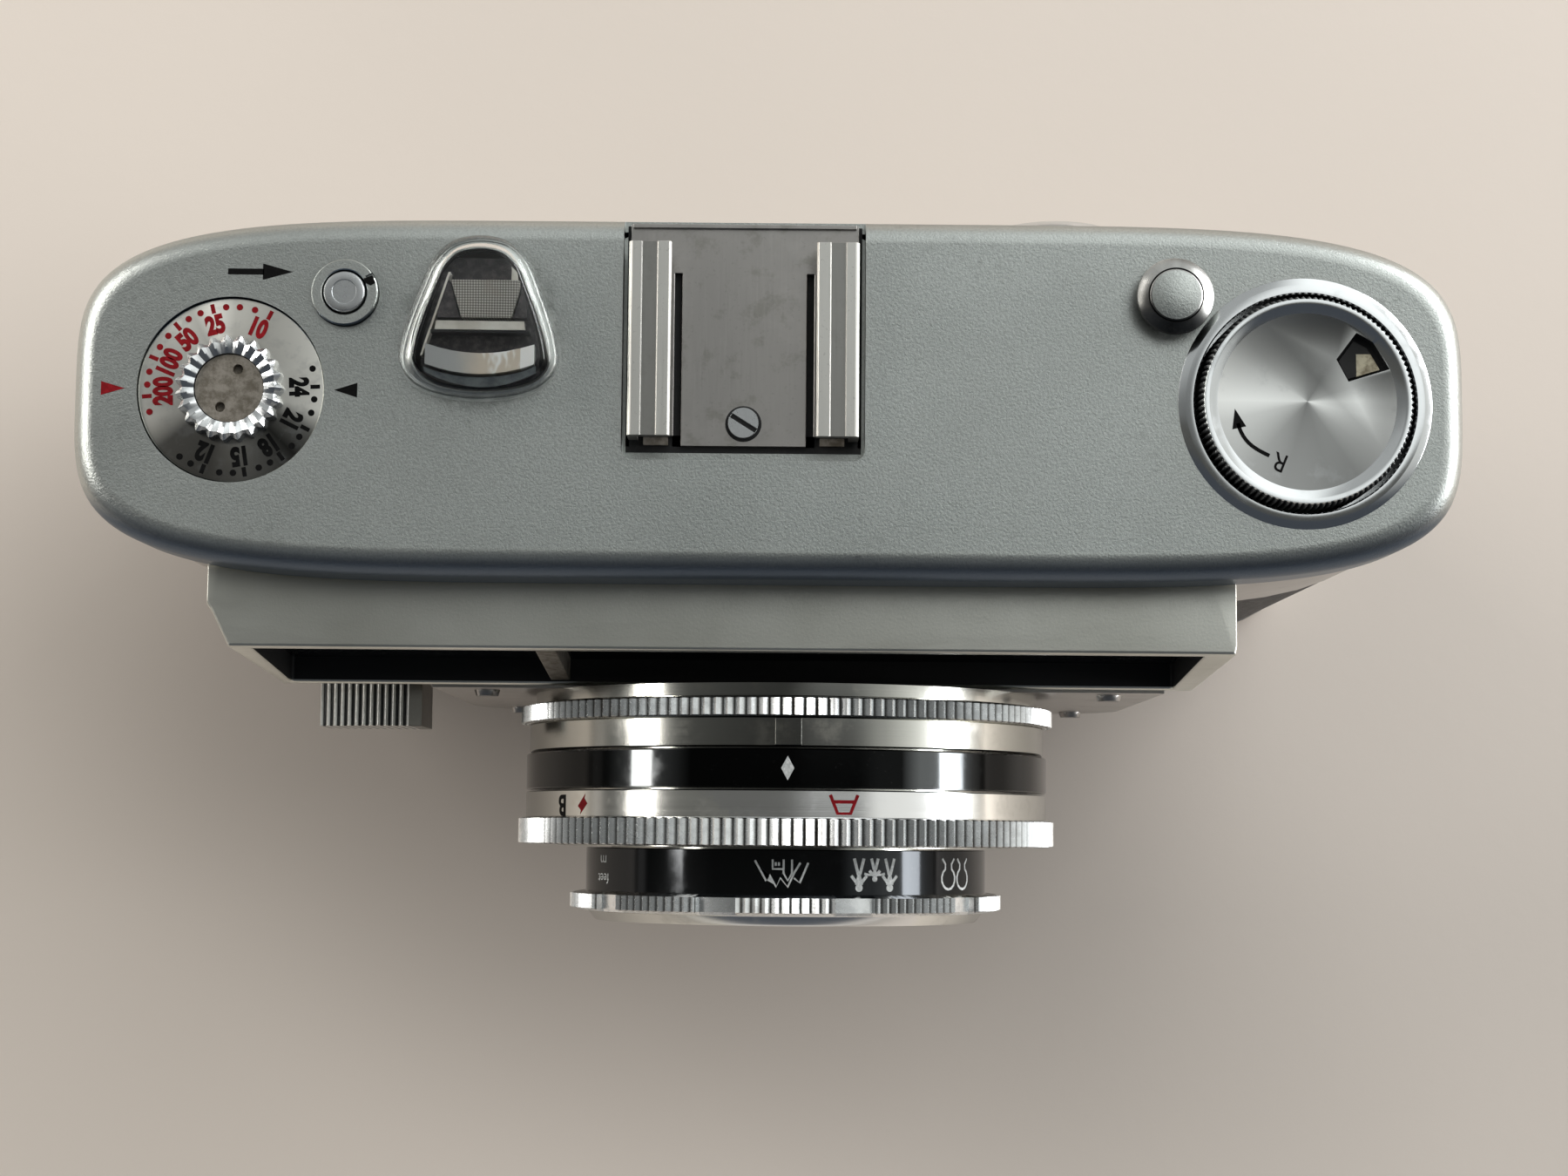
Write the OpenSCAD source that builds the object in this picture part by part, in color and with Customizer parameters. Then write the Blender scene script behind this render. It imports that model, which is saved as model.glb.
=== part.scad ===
// Compact 35 mm viewfinder camera with a between-the-lens programmed shutter.
// Origin: mouth of the tripod socket, in the middle of the base.
// +Z up, lens towards -Y, rewind side towards +X.

/* [Body] */
// Left end of the body, from the lens axis
body_left = 63.9; // [62:0.1:66]
// Right end of the body, from the lens axis
body_right = 60.1; // [59:0.1:62]
// Depth of the body at the top cover
body_depth = 32.3; // [31:0.1:36]
// Height of the flat top plate above the base
top_height = 82; // [80:0.5:86]
// Length of the rounded left end
end_run_left = 45; // [40:0.5:50]
// Length of the rounded right end
end_run_right = 45; // [40:0.5:50]
// Squareness of the rounded ends, 2 is an ellipse
end_squareness = 4; // [3.6:0.1:5]
// Height of the top cover's side wall
cover_height = 7; // [6:0.5:9]
// Wall of the pressed covers
sheet_wall = 1; // [0.8:0.1:1.2]
// Height of the base pan
base_height = 5; // [4.5:0.5:6]
// Height of the lower edge of the satin band
band_bottom = 50; // [46:1:54]
// Thickness of the leatherette
leather_t = 0.7; // [0.5:0.1:0.9]

/* [Front housing] */
// Left end of the front housing
housing_left = 53; // [51:0.5:54]
// Right end of the front housing
housing_right = 40.9; // [39:0.5:43]
// Height of the lower edge of the front housing
housing_bottom = 53; // [51:0.5:55]
// How far the housing stands out at its top edge
housing_out_top = 5.9; // [5:0.1:7]
// How far the housing stands out at its bottom edge
housing_out_bottom = 8; // [7:0.1:8.2]
// Width of the bar between the two windows
divider_w = 1.9; // [1.5:0.1:2.5]
// Left side of that bar, from the lens axis
divider_x = 23.3; // [21:0.5:26]
// Height of the frame above the windows
window_head = 1.1; // [0.8:0.1:1.6]
// Height of the frame below the windows
window_sill = 1; // [0.8:0.1:1.4]

/* [Lens] */
// Height of the lens axis above the base
lens_z = 40; // [38:0.5:42]
// Distance of the lens board's face in front of the middle of the body
board_y = 24.4; // [24.3:0.1:26]
// Left edge of the lens board, from the lens axis
board_left = 35.2; // [34:0.2:37]
// Right edge of the lens board, from the lens axis
board_right = 37.4; // [35:0.2:38]
// Lower edge of the lens board
board_bottom = 9; // [8:0.5:11]
// Radius of the rear knurled ring
rear_knurl_r = 27.4; // [27:0.1:28]
// Radius of the front knurled ring
front_knurl_r = 27.55; // [27:0.1:28]
// Radius of the bands between the knurled rings
band_r = 26.7; // [26:0.1:26.9]
// Wall of the rings that turn on the barrel
ring_wall = 3.2; // [3:0.1:3.6]
// Width of the satin flange behind the rings
flange_t = 1.2; // [0.8:0.1:1.4]
// Width of the rear knurl
rear_knurl_w = 1.8; // [1.4:0.1:2.4]
// Width of the plain rear band
rear_band_w = 2.9; // [2:0.1:4]
// Width of the black index band
index_w = 3.7; // [3:0.1:4.5]
// Width of the scale band
scale_w = 2.6; // [2:0.1:3.5]
// Width of the front knurl
front_knurl_w = 2.7; // [2:0.1:3.2]
// Radius of the black focusing band
focus_r = 20.55; // [20:0.1:21]
// Width of the focusing band
focus_w = 4.3; // [3.5:0.1:5]
// Radius of the scalloped grip
grip_r = 22.15; // [21.5:0.1:23]
// Width of the scalloped grip
grip_w = 2; // [1.6:0.1:2.6]
// Width of the front rim
rim_w = 1; // [0.8:0.1:1.4]
// Radius of the filter thread
filter_r = 17.75; // [17:0.25:18]
// Radius of the front lens
front_lens_r = 10; // [9:0.5:11]

/* [Top controls] */
// Distance of the film-speed dial's middle from the left end
dial_inset = 14.3; // [13:0.1:16]
// Radius of the film-speed dial
dial_r = 8.25; // [8:0.05:8.6]
// Radius of the dial's crown
crown_r = 4.87; // [4.6:0.01:5.2]
// Distance of the rewind knob's middle from the right end
knob_inset = 14.5; // [14.4:0.1:15.5]
// Outer radius of the rewind well's rim
well_r = 11.25; // [11:0.05:11.4]
// Radius of the rewind knob
knob_r = 9.6; // [9.3:0.1:9.7]
// Radius of the knob's spun face
knob_face_r = 8.05; // [7.6:0.05:8.3]
// How far the rewind knob springs up
knob_lift = 5.5; // [4:0.5:6]
// Radius of the knob catch button
catch_r = 3.4; // [3:0.1:3.5]
// Radius of the transport indicator
indicator_r = 2.95; // [2.8:0.05:3.1]
// Gap between the lips of the accessory shoe
shoe_gap = 12.5; // [12.4:0.1:12.7]
// Inside width of the accessory shoe
shoe_inside = 18.7; // [18.6:0.1:18.9]
// Side wall of the accessory shoe's rails
shoe_wall = 0.85; // [0.7:0.05:1]
// Length of the accessory shoe
shoe_len = 19.4; // [18:0.2:20]
// Middle of the accessory shoe, left of the lens axis
shoe_x = 4.15; // [3:0.25:5]

/* [Film path] */
// Width of the film gate
gate_w = 36; // [35:0.5:37]
// Height of the film gate
gate_h = 24; // [23:0.5:25]
// Distance of the film plane behind the middle of the body
film_y = 9.9; // [9.5:0.1:10.2]
// Radius of the cassette chamber
cassette_r = 12.8; // [12.7:0.1:12.9]
// Height of the cassette chamber
chamber_h = 48; // [47.5:0.5:49]
// Radius of the sprocket drum
sprocket_r = 6; // [5.8:0.1:6.2]
// Radius of the take-up spool
spool_r = 6.5; // [5.5:0.5:8]
// Tripod thread, radius of the tapped hole's wall
tripod_r = 2.55; // [2.5:0.05:2.7]
// Depth of the tripod thread
tripod_len = 7; // [6:0.5:8]

/* [Motion] */
// Length of the film-advance lever, from its pivot
lever_len = 24.5; // [23:0.5:26]
// Travel of the release lever
release_travel = 7; // [5:0.5:8]
// Clearance between moving and fixed pieces
play = 0.3; // [0.25:0.05:0.4]
// Radial clearance of a running fit
fit = 0.06; // [0.03:0.01:0.09]

/* [Hidden] */
$fn = 96;

half_d = body_depth / 2;
eps = 0.01;
skin_in = 0.4;                                  // satin band and leather lie this far inside
cast_in = skin_in + leather_t;                  // outline of the casting
cover_z = top_height - cover_height;
deck_z = lens_z + chamber_h / 2;                // top of the film chambers
floor_z = lens_z - chamber_h / 2;               // bottom of the film chambers
deck_t = 2;
roof_z = top_height - sheet_wall;               // underside of the top plate
dial_x = body_left - dial_inset;
knob_x = body_right - knob_inset;
dial_y = 0.2;
knob_y = -0.25;
indicator_x = 39.6;
indicator_y = 8.9;
catch_x = knob_x - 11.7;
catch_y = knob_y + 9.15;
finder_x = 25;
finder_z = top_height - 17;
housing_top = cover_z - 1;
shoe_w = shoe_inside + 2 * shoe_wall;
shoe_y = 5.4;
shoe_floor = top_height - 1.4;                  // top of the shoe plate
shoe_lip_z = shoe_floor + 2.2;
shoe_lip_t = 1;
shoe_plate_t = 0.7;
recess_z = shoe_floor - shoe_plate_t;
recess_w = shoe_w + 1.2;
door_left = 55;
door_right = 51;
latch_x = door_right - 8.5;
door_bottom = base_height + 1;
door_top = deck_z + 2;
door_y = film_y + 2.7;                          // inside face of the door
hinge_x = 57.2;
hinge_y = 13.6;
knuckle_r = 1.5;
hinge_pin_r = 0.7;
spool_x = body_left - 17.4;
sprocket_x = 27;
sprocket_y = film_y - sprocket_r;
lever_z = 1.6;
lever_t = 2;
bush_r = 5;
tooth_pitch = 2.4;                              // degrees between knurl teeth
boss_r = 3.8;                                   // bosses that stand on the deck
knob_boss_r = 5.2;
retainer_r = 2;                                 // stem of the film-speed dial
indicator_stem_r = 2.6;
release_pin_r = 1.85;                           // rewind release inside the indicator
catch_stem_r = 2.4;
journal_r = 2;                                  // ends of the film sprocket
barrel_r = band_r - ring_wall;
flange_r = barrel_r + 2.4;
helicoid_r = 18;
shutter_r = 19.2;
rear_tube_r = housing_bottom - lens_z - 0.6;    // tube behind the lens board
ring_gap = 0.15;                                // side play between neighbouring rings

// Stations along the lens axis, measured forward from the middle of the body
s_flange = board_y;
s_rear = s_flange + flange_t + ring_gap;
s_index = s_rear + rear_knurl_w + rear_band_w + ring_gap;
s_mode = s_index + index_w + ring_gap;
s_focus = s_mode + scale_w + front_knurl_w + 2 * ring_gap;
s_grip = s_focus + focus_w;
s_rim = s_grip + grip_w;
s_nose = s_rim + rim_w;
s_shutter = s_flange + 1.5;
shutter_gap = 3;
thread_len = 1.8;
cell_t = 2;
cell_r = filter_r - 0.4;
helicoid_end = s_nose - thread_len - cell_t - 0.6;

// Outline of the body: straight sides with super-elliptic ends, drawn inset by "inset"
function end_point(a, b, t, n) =
    [a * sign(cos(t)) * pow(abs(cos(t)), 2 / n), b * sign(sin(t)) * pow(abs(sin(t)), 2 / n)];
function body_outline(inset, steps = 22) = concat(
    [for (i = [0:steps])
        [body_right - end_run_right, 0]
        + end_point(end_run_right - inset, half_d - inset, -90 + 180 * i / steps, end_squareness)],
    [for (i = [0:steps])
        [-body_left + end_run_left, 0]
        + end_point(end_run_left - inset, half_d - inset, 90 + 180 * i / steps, end_squareness)]);
function polar(r, a) = [r * cos(a), r * sin(a)];
// Outline of a knurled disc with "count" pointed teeth
function knurl_outline(r, depth, count) =
    [for (i = [0:2 * count - 1]) polar(r - depth * (i % 2), 180 * i / count)];
// Outline of the grip: raised knurled lobes with plain hollows between
lobes = 10;
lobe_teeth = 9;
function grip_outline(r, hollow, depth) =
    [for (k = [0:lobes - 1], i = [0:2 * lobe_teeth])
        polar(i == 0 || i == 2 * lobe_teeth ? r - hollow : r - depth * (i % 2 == 0 ? 1 : 0),
            360 / lobes * (k - 0.34 + 0.68 * i / (2 * lobe_teeth)))];

module body_slab(inset, z0, z1) {
    translate([0, 0, z0])
        linear_extrude(z1 - z0)
            polygon(body_outline(inset));
}

module box(x0, x1, y0, y1, z0, z1) {
    translate([x0, y0, z0])
        cube([x1 - x0, y1 - y0, z1 - z0]);
}

module post(x, y, z0, z1, r) {
    translate([x, y, z0])
        cylinder(h = z1 - z0, r = r);
}

// Ring about the z axis
module ring(outer, inner, h) {
    difference() {
        cylinder(h = h, r = outer);
        translate([0, 0, -1])
            cylinder(h = h + 2, r = inner);
    }
}

module lens_axis(station = 0) {
    translate([0, -station, lens_z])
        rotate([90, 0, 0])
            children();
}

module finder_axis(y) {
    translate([finder_x, y, finder_z])
        rotate([-90, 0, 0])
            children();
}

module door_zone(margin, z0, z1) {
    box(-door_left - margin, door_right + margin, door_y - margin, half_d + 5, z0, z1);
}

module hinge_notch() {
    post(-hinge_x, hinge_y, door_bottom - play, door_top + play, knuckle_r + play);
    box(-hinge_x, -door_left, door_y - play, half_d + 1, door_bottom - play, door_top + play);
}

/* Body */

module film_chambers() {
    for (x = [knob_x, -spool_x]) {
        post(x, 0, floor_z, deck_z, cassette_r);
        box(x - cassette_r + 3, x + cassette_r - 3, 0, half_d, floor_z, deck_z);
    }
    post(-sprocket_x, sprocket_y, floor_z, deck_z, sprocket_r + 1.5);
    box(-spool_x, -sprocket_x + sprocket_r + 1.5, sprocket_y, half_d, floor_z, deck_z);
    box(-gate_w / 2, gate_w / 2, -half_d, half_d, lens_z - gate_h / 2, lens_z + gate_h / 2);
}

// Slot in the front wall that the release lever's stem slides in
module lever_slot() {
    box(-stem_x - 1.3, -stem_x + 1.3, -half_d - 1, -half_d + cast_in + 2,
        pad_top - 6 - release_travel - play, pad_top - 2.5 + play);
}

// Whole casting, before it is parted beside the cassette chamber
module casting_form() {
    difference() {
        union() {
            body_slab(cast_in, base_height, deck_z + deck_t);
            post(-dial_x, dial_y, deck_z, roof_z - 2.1, boss_r);
            post(-indicator_x, indicator_y, deck_z, cover_z + 1, boss_r);
            post(knob_x, knob_y, deck_z, cover_z + 0.5, knob_boss_r);
            post(catch_x, catch_y, deck_z, cover_z, boss_r);
        }
        film_chambers();
        // mechanism space under the film chambers
        body_slab(cast_in + 2, base_height - 1, floor_z - deck_t);
        door_zone(play, door_bottom - play, door_top + play);
        box(-door_left, door_right, film_y, half_d, floor_z, deck_z);
        hinge_notch();
        // space for the rear lens tube
        lens_axis(half_d - 6)
            cylinder(h = half_d, r = rear_tube_r + play);
        // finder tunnel and meter bay above the film gate
        box(finder_x - 7, finder_x + 6.6, -half_d, half_d, deck_z - 7, deck_z + deck_t + 1);
        box(-20, 14, -half_d, film_y - 3, deck_z - 7, deck_z + deck_t + 1);
        at_cover_screws(deck_z - 1)
            cylinder(h = deck_t + 2, r = screw_r);
        lever_slot();
        box(-stem_x - 2, -stem_x + 2, -half_d + cast_in + 1.6, -half_d + cast_in + 4.6,
            spring_z - 0.3, pad_top);
        post(-dial_x, dial_y, deck_z - 1, roof_z, retainer_r);
        post(-indicator_x, indicator_y, deck_z - 1, roof_z, indicator_stem_r + fit);
        post(knob_x, knob_y, deck_z - 1, roof_z, sleeve_r + fit);
        post(catch_x, catch_y, deck_z + 3, roof_z, catch_stem_r + fit);
        post(-spool_x, 0, floor_z - 3, floor_z + 1, 3 + fit);
        post(-sprocket_x, sprocket_y, floor_z - 3, floor_z + 1, journal_r + fit);
        post(-sprocket_x, sprocket_y, deck_z - 1, deck_z + 3, journal_r + fit);
        post(counter_x, counter_y, floor_z - 3, floor_z + 1, 1.5);
        post(0, 0, 0, tripod_len + 2, bush_r);
    }
}

// Right end of the casting, round the cassette chamber
module rewind_end() {
    box(knob_x - cassette_r - 0.6, body_right + 1, -half_d - 1, half_d + 1, 0, top_height);
    post(catch_x, catch_y, deck_z + deck_t, top_height, 4);
}

module body_casting() {
    color("dimgray")
        difference() {
            casting_form();
            rewind_end();
        }
}

module cassette_casting() {
    color("dimgray")
        intersection() {
            casting_form();
            rewind_end();
        }
}

module satin_band() {
    color("silver")
        difference() {
            body_slab(skin_in, band_bottom, cover_z);
            body_slab(cast_in, band_bottom - 1, deck_z + deck_t);
            body_slab(cast_in, deck_z + deck_t - eps, cover_z + 1);
            door_zone(play, base_height, door_top + play);
            hinge_notch();
            // opening behind the front housing
            box(-housing_left + 3, housing_right - 3, -half_d - 1, -half_d + 3,
                housing_bottom + 1, cover_z - 2);
            finder_axis(0)
                cylinder(h = half_d + 2, r = eyepiece_r + 0.05);
            lens_axis(0)
                cylinder(h = half_d + 1, r = rear_tube_r);
        }
}

module leather_wrap() {
    color([0.08, 0.08, 0.08])
        difference() {
            body_slab(skin_in + 0.05, base_height, band_bottom);
            body_slab(cast_in, base_height - 1, band_bottom + 1);
            door_zone(play, base_height - 1, band_bottom + 1);
            hinge_notch();
            box(-board_left, board_right, -half_d - 1, -half_d + 3, board_bottom, band_bottom + 1);
            lever_slot();
        }
}

module lever_sweep() {
    post(-spool_x, 0, lever_z - play, lever_z + lever_t + play, lever_len + 1);
}

module bottom_plate() {
    color("silver")
        difference() {
            hull() {
                body_slab(1.2, 0, 1);
                body_slab(0.3, 0.9, base_height);
            }
            body_slab(cast_in + 0.3, sheet_wall, base_height + 1);
            intersection() {
                lever_sweep();
                union() {
                    box(-body_left - 1, -spool_x + lever_len + 0.5, -3, half_d + 1, 1, lever_z + lever_t + 0.6);
                    box(-body_left - 1, -spool_x, -4, half_d + 1, 1, lever_z + lever_t + 0.6);
                }
            }
            post(0, 0, -1, base_height + 1, bush_r);
            post(-spool_x, 0, -1, 6, pivot_head_r);
            // window over the frame counter
            box(counter_x - 7.2, counter_x - 3.4, counter_y - 1.5, counter_y + 1.5, -1, 2);
        }
}

module tripod_bush() {
    color("silver")
        difference() {
            post(0, 0, 0, tripod_len + 2, bush_r);
            post(0, 0, -1, tripod_len, tripod_r);
        }
}

module recess_zone(z0, z1) {
    box(-shoe_x - recess_w / 2, -shoe_x + recess_w / 2, shoe_y - shoe_len / 2 - 1, half_d + 1, z0, z1);
}

module cover_shell() {
    difference() {
        hull() {
            body_slab(0, cover_z, top_height - 1.8);
            body_slab(0.15, cover_z, top_height - 1.1);
            body_slab(0.6, cover_z, top_height - 0.4);
            body_slab(1.6, cover_z, top_height);
        }
        body_slab(sheet_wall, cover_z - 1, roof_z);
    }
}

module top_cover() {
    color("lightgray")
        difference() {
            union() {
                cover_shell();
                // floor and walls of the shoe recess
                intersection() {
                    body_slab(0.1, cover_z, roof_z + 0.5);
                    box(-shoe_x - recess_w / 2 - 1, -shoe_x + recess_w / 2 + 1,
                        shoe_y - shoe_len / 2 - 2, half_d, recess_z - sheet_wall, roof_z + 0.5);
                }
            }
            recess_zone(recess_z, top_height + 1);
            post(-dial_x, dial_y, cover_z, top_height + 1, dial_r + play);
            post(-indicator_x, indicator_y, cover_z, top_height + 1, indicator_r + play);
            post(knob_x, knob_y, cover_z, top_height + 1, well_r);
            post(catch_x, catch_y, cover_z, top_height + 1, catch_stem_r + fit);
            dome_hole();
            post(-shoe_x, shoe_y - shoe_len / 2 + 2, cover_z, top_height, 0.8);
        }
}

screw_r = 0.8;

// Places of the screws that hold the cover's brackets down on the deck
module at_cover_screws(z) {
    for (x = [body_right - 6, -body_left + 6.5])
        translate([x, half_d - 9, z])
            children();
}

module cover_screws() {
    color("silver")
        at_cover_screws(deck_z + deck_t)
            difference() {
                union() {
                    translate([0, 0, -deck_t + 0.2])
                        cylinder(h = deck_t, r = screw_r);
                    cylinder(h = 0.9, r = 2 * screw_r);
                }
                box(-2, 2, -0.25, 0.25, 0.45, 2);
            }
}

/* Front housing and finder */

// Solid between the housing's slanting front and the body, drawn inset from its skin
module housing_form(inset, back) {
    intersection() {
        translate([0, 0, housing_bottom + inset])
            linear_extrude(housing_top - housing_bottom - 2 * inset)
                polygon([
                    [-housing_left + inset, -half_d + back],
                    [-housing_left + inset, -half_d - 2],
                    [-housing_left + 0.5 + inset, -half_d - housing_out_top + 3.2],
                    [-housing_left + 2.1 + inset, -half_d - housing_out_top],
                    [-housing_left + 3.2 + inset, -half_d - housing_out_bottom],
                    [housing_right - 0.9 - inset, -half_d - housing_out_bottom],
                    [housing_right - inset, -half_d - housing_out_top + 0.4],
                    [housing_right - inset, -half_d + back]]);
        translate([-housing_left - 1, 0, 0])
            rotate([90, 0, 90])
                linear_extrude(housing_left + housing_right + 2)
                    polygon([
                        [-half_d + back, housing_bottom],
                        [-half_d - housing_out_bottom + inset, housing_bottom],
                        [-half_d - housing_out_top + inset, housing_top],
                        [-half_d + back, housing_top]]);
    }
}

window_left = housing_left - 4.1;
window_right = housing_right - 2.9;

module housing_mouth() {
    box(-window_left, window_right, -half_d - housing_out_bottom - 1, -half_d + 2,
        housing_bottom + window_sill, housing_top - window_head);
}

module front_housing() {
    color("silver")
        difference() {
            housing_form(0, 3);
            body_slab(skin_in, housing_bottom - 1, top_height);
            housing_mouth();
        }
}

module window_divider() {
    color("silver")
        intersection() {
            housing_form(0.4, -0.1);
            box(-divider_x, -divider_x + divider_w, -half_d - housing_out_bottom, -half_d - 0.1,
                housing_bottom + window_sill, housing_top - window_head);
        }
}

glass_t = 1;
glass_in = 2.6;

module window_glass(x0, x1, depth, t) {
    translate([x0, 0, 0])
        rotate([90, 0, 90])
            linear_extrude(x1 - x0)
                polygon([
                    [-half_d - housing_out_bottom + depth, housing_bottom + window_sill],
                    [-half_d - housing_out_top + depth, housing_top - window_head],
                    [-half_d - housing_out_top + depth + t, housing_top - window_head],
                    [-half_d - housing_out_bottom + depth + t, housing_bottom + window_sill]]);
}

module finder_window() {
    color([0.5, 0.6, 0.65, 0.4])
        window_glass(-divider_x + divider_w, window_right, glass_in, glass_t);
}

// Window over the light cell, with a field of small lens ribs behind it
module cell_window() {
    rib = 1.5;
    color([0.5, 0.6, 0.65, 0.4])
        union() {
            window_glass(-window_left, -divider_x, glass_in, glass_t);
            for (x = [-window_left + rib : rib : -divider_x - rib])
                window_glass(x - 0.4, x + 0.4, glass_in + glass_t - eps, 0.4);
        }
}

module selenium_cell() {
    color([0.12, 0.12, 0.16])
        window_glass(-window_left + 0.5, -divider_x - 0.5, glass_in + glass_t + 0.7, 0.8);
}

module finder_front_lens() {
    color([0.6, 0.7, 0.75, 0.4])
        difference() {
            box(finder_x - 6.6, finder_x + 6.2, -half_d + 1.6, -half_d + 4, deck_z - 6.5, deck_z + 1.8);
            translate([finder_x, -half_d - 26.6, finder_z])
                rotate([-90, 0, 0])
                    cylinder(h = 27, r = 3);
        }
}

eye_lens_r = 5.2;

module finder_eye_lens() {
    color([0.6, 0.7, 0.75, 0.4])
        finder_axis(half_d - 2)
            cylinder(h = 1.6, r = eye_lens_r);
}

eyepiece_r = 5.55;
bezel_r = 6.3;
bezel_depth = 3;                                // how deep the bezel sits in the wall

module eyepiece_bezel() {
    color("silver")
        finder_axis(half_d - bezel_depth + 0.8)
            difference() {
                union() {
                    cylinder(h = bezel_depth, r = eyepiece_r);
                    translate([0, 0, bezel_depth - 0.8])
                        cylinder(h = 2, r = bezel_r);
                    translate([0, 0, bezel_depth + 1.2])
                        cylinder(h = 0.7, r1 = bezel_r, r2 = bezel_r - 0.7);
                }
                translate([0, 0, -1])
                    cylinder(h = bezel_depth + 4, r = eye_lens_r);
            }
}

/* Top controls */

dome_x = 27.55;

// Outline of the domed light window: round at the back, wide and gently curved in front
module dome_outline(inset, $fn = 32) {
    translate([-dome_x, 0])
        hull() {
            translate([0, 8.9])
                circle(r = 5.1 - inset);
            for (side = [-1, 1])
                translate([side * 4.9, 3.1])
                    circle(r = 2.1 - inset);
            translate([0, 8.3])
                intersection() {
                    circle(r = 9 - inset);
                    translate([-4.5, -10])
                        square([9, 6]);
                }
        }
}

module dome_hole() {
    translate([0, 0, cover_z])
        linear_extrude(cover_height + 1)
            dome_outline(0.8);
}

dome_rise = 2.6;

module dome_shape(inset, top) {
    hull() {
        translate([0, 0, top_height + 0.05])
            linear_extrude(top - 1.2)
                dome_outline(inset);
        translate([0, 0, top_height + 0.05])
            linear_extrude(top - 0.4)
                dome_outline(inset + 0.7);
        translate([0, 0, top_height + 0.05])
            linear_extrude(top)
                dome_outline(inset + 1.7);
    }
}

module dome_window() {
    color([0.8, 0.85, 0.85, 0.4])
        difference() {
            union() {
                dome_shape(0, dome_rise);
                translate([0, 0, roof_z - 0.5])
                    linear_extrude(sheet_wall + 0.6)
                        dome_outline(1);
            }
            dome_shape(1.3, dome_rise - 0.8);
            translate([0, 0, roof_z - 1])
                linear_extrude(sheet_wall + 1.2)
                    dome_outline(1.6);
        }
}

block_back = 11.2;
block_front = 3.3;
block_w = 9.6;

// Tapering block of clear plastic that lights the finder frame and the needle
module light_block() {
    color([0.75, 0.78, 0.78, 0.6])
        translate([-dome_x, 0, deck_z + deck_t])
            union() {
                linear_extrude(top_height - deck_z - deck_t + 0.9)
                    polygon([
                        [-block_w / 4, block_back], [block_w / 4, block_back],
                        [block_w / 2, block_front + 1], [block_w / 2 - 0.7, block_front],
                        [0.7 - block_w / 2, block_front], [-block_w / 2, block_front + 1]
                    ]);
                linear_extrude(1.5)
                    square([8, 8]);
            }
}

module shoe_plate() {
    x = -shoe_x;
    back = shoe_y + shoe_len / 2;
    front = shoe_y - shoe_len / 2;
    color("silver")
        difference() {
            box(x - shoe_w / 2, x + shoe_w / 2, front, back, recess_z, shoe_floor);
            // long slots beside the gap, which free the spring tongues
            for (side = [-1, 1])
                translate([x + side * (shoe_gap / 2 - 0.3), 0, 0])
                    box(-0.35, 0.35, front + 0.6, back - 3, recess_z - 1, shoe_floor + 1);
            post(x, front + 2, recess_z - 1, shoe_floor + 1, 0.8);
        }
}

module shoe_rails() {
    lip = (shoe_w - shoe_gap) / 2;
    top = shoe_lip_z + shoe_lip_t;
    color("silver")
        for (side = [0, 1])
            translate([-shoe_x, shoe_y + shoe_len / 2, 0])
                mirror([side, 0, 0])
                    rotate([90, 0, 0])
                        linear_extrude(shoe_len - 1)
                            polygon([
                                [-shoe_w / 2, shoe_floor], [-shoe_w / 2 + shoe_wall, shoe_floor],
                                [-shoe_w / 2 + shoe_wall, shoe_lip_z], [-shoe_w / 2 + lip, shoe_lip_z],
                                [-shoe_w / 2 + lip, top - 0.2], [-shoe_w / 2 + lip - 0.3, top],
                                [-shoe_w / 2 + lip * 0.62, top], [-shoe_w / 2 + lip * 0.58, top - 0.3],
                                [-shoe_w / 2 + lip * 0.38, top - 0.3], [-shoe_w / 2 + lip * 0.34, top],
                                [-shoe_w / 2 + 0.4, top], [-shoe_w / 2, top - 0.4]]);
}

module shoe_screw() {
    color("silver")
        translate([-shoe_x, shoe_y - shoe_len / 2 + 2, 0])
            difference() {
                union() {
                    translate([0, 0, shoe_floor - 2.6])
                        cylinder(h = 3, r = 0.8);
                    translate([0, 0, shoe_floor])
                        cylinder(h = 0.7, r = 1.35);
                }
                rotate(-32)
                    box(-2, 2, -0.22, 0.22, shoe_floor + 0.3, shoe_floor + 2);
            }
}

dial_top = top_height - 0.3;
dial_t = 1.6;
crown_h = 1.5;

module film_speed_dial() {
    color("silver")
        translate([-dial_x, dial_y, 0])
            difference() {
                union() {
                    translate([0, 0, dial_top - dial_t])
                        cylinder(h = dial_t, r = dial_r);
                    translate([0, 0, dial_top - eps])
                        linear_extrude(crown_h)
                            polygon(knurl_outline(crown_r, 0.45, 23));
                }
                translate([0, 0, dial_top - dial_t - 1])
                    cylinder(h = 6, r = retainer_r + fit);
                translate([0, 0, dial_top - 0.6])
                    cylinder(h = 6, r = 3.02 + fit);
            }
}

module dial_retainer() {
    color("silver")
        translate([-dial_x, dial_y, 0])
            difference() {
                union() {
                    translate([0, 0, deck_z])
                        cylinder(h = dial_top - 0.5 - deck_z, r = retainer_r);
                    translate([0, 0, dial_top - 0.5])
                        cylinder(h = 1.3, r = 3.02);
                }
                for (side = [-1, 1])
                    rotate(66)
                        translate([side * 1.85, 0, dial_top])
                            cylinder(h = 3, r = 0.45);
            }
}

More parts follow.
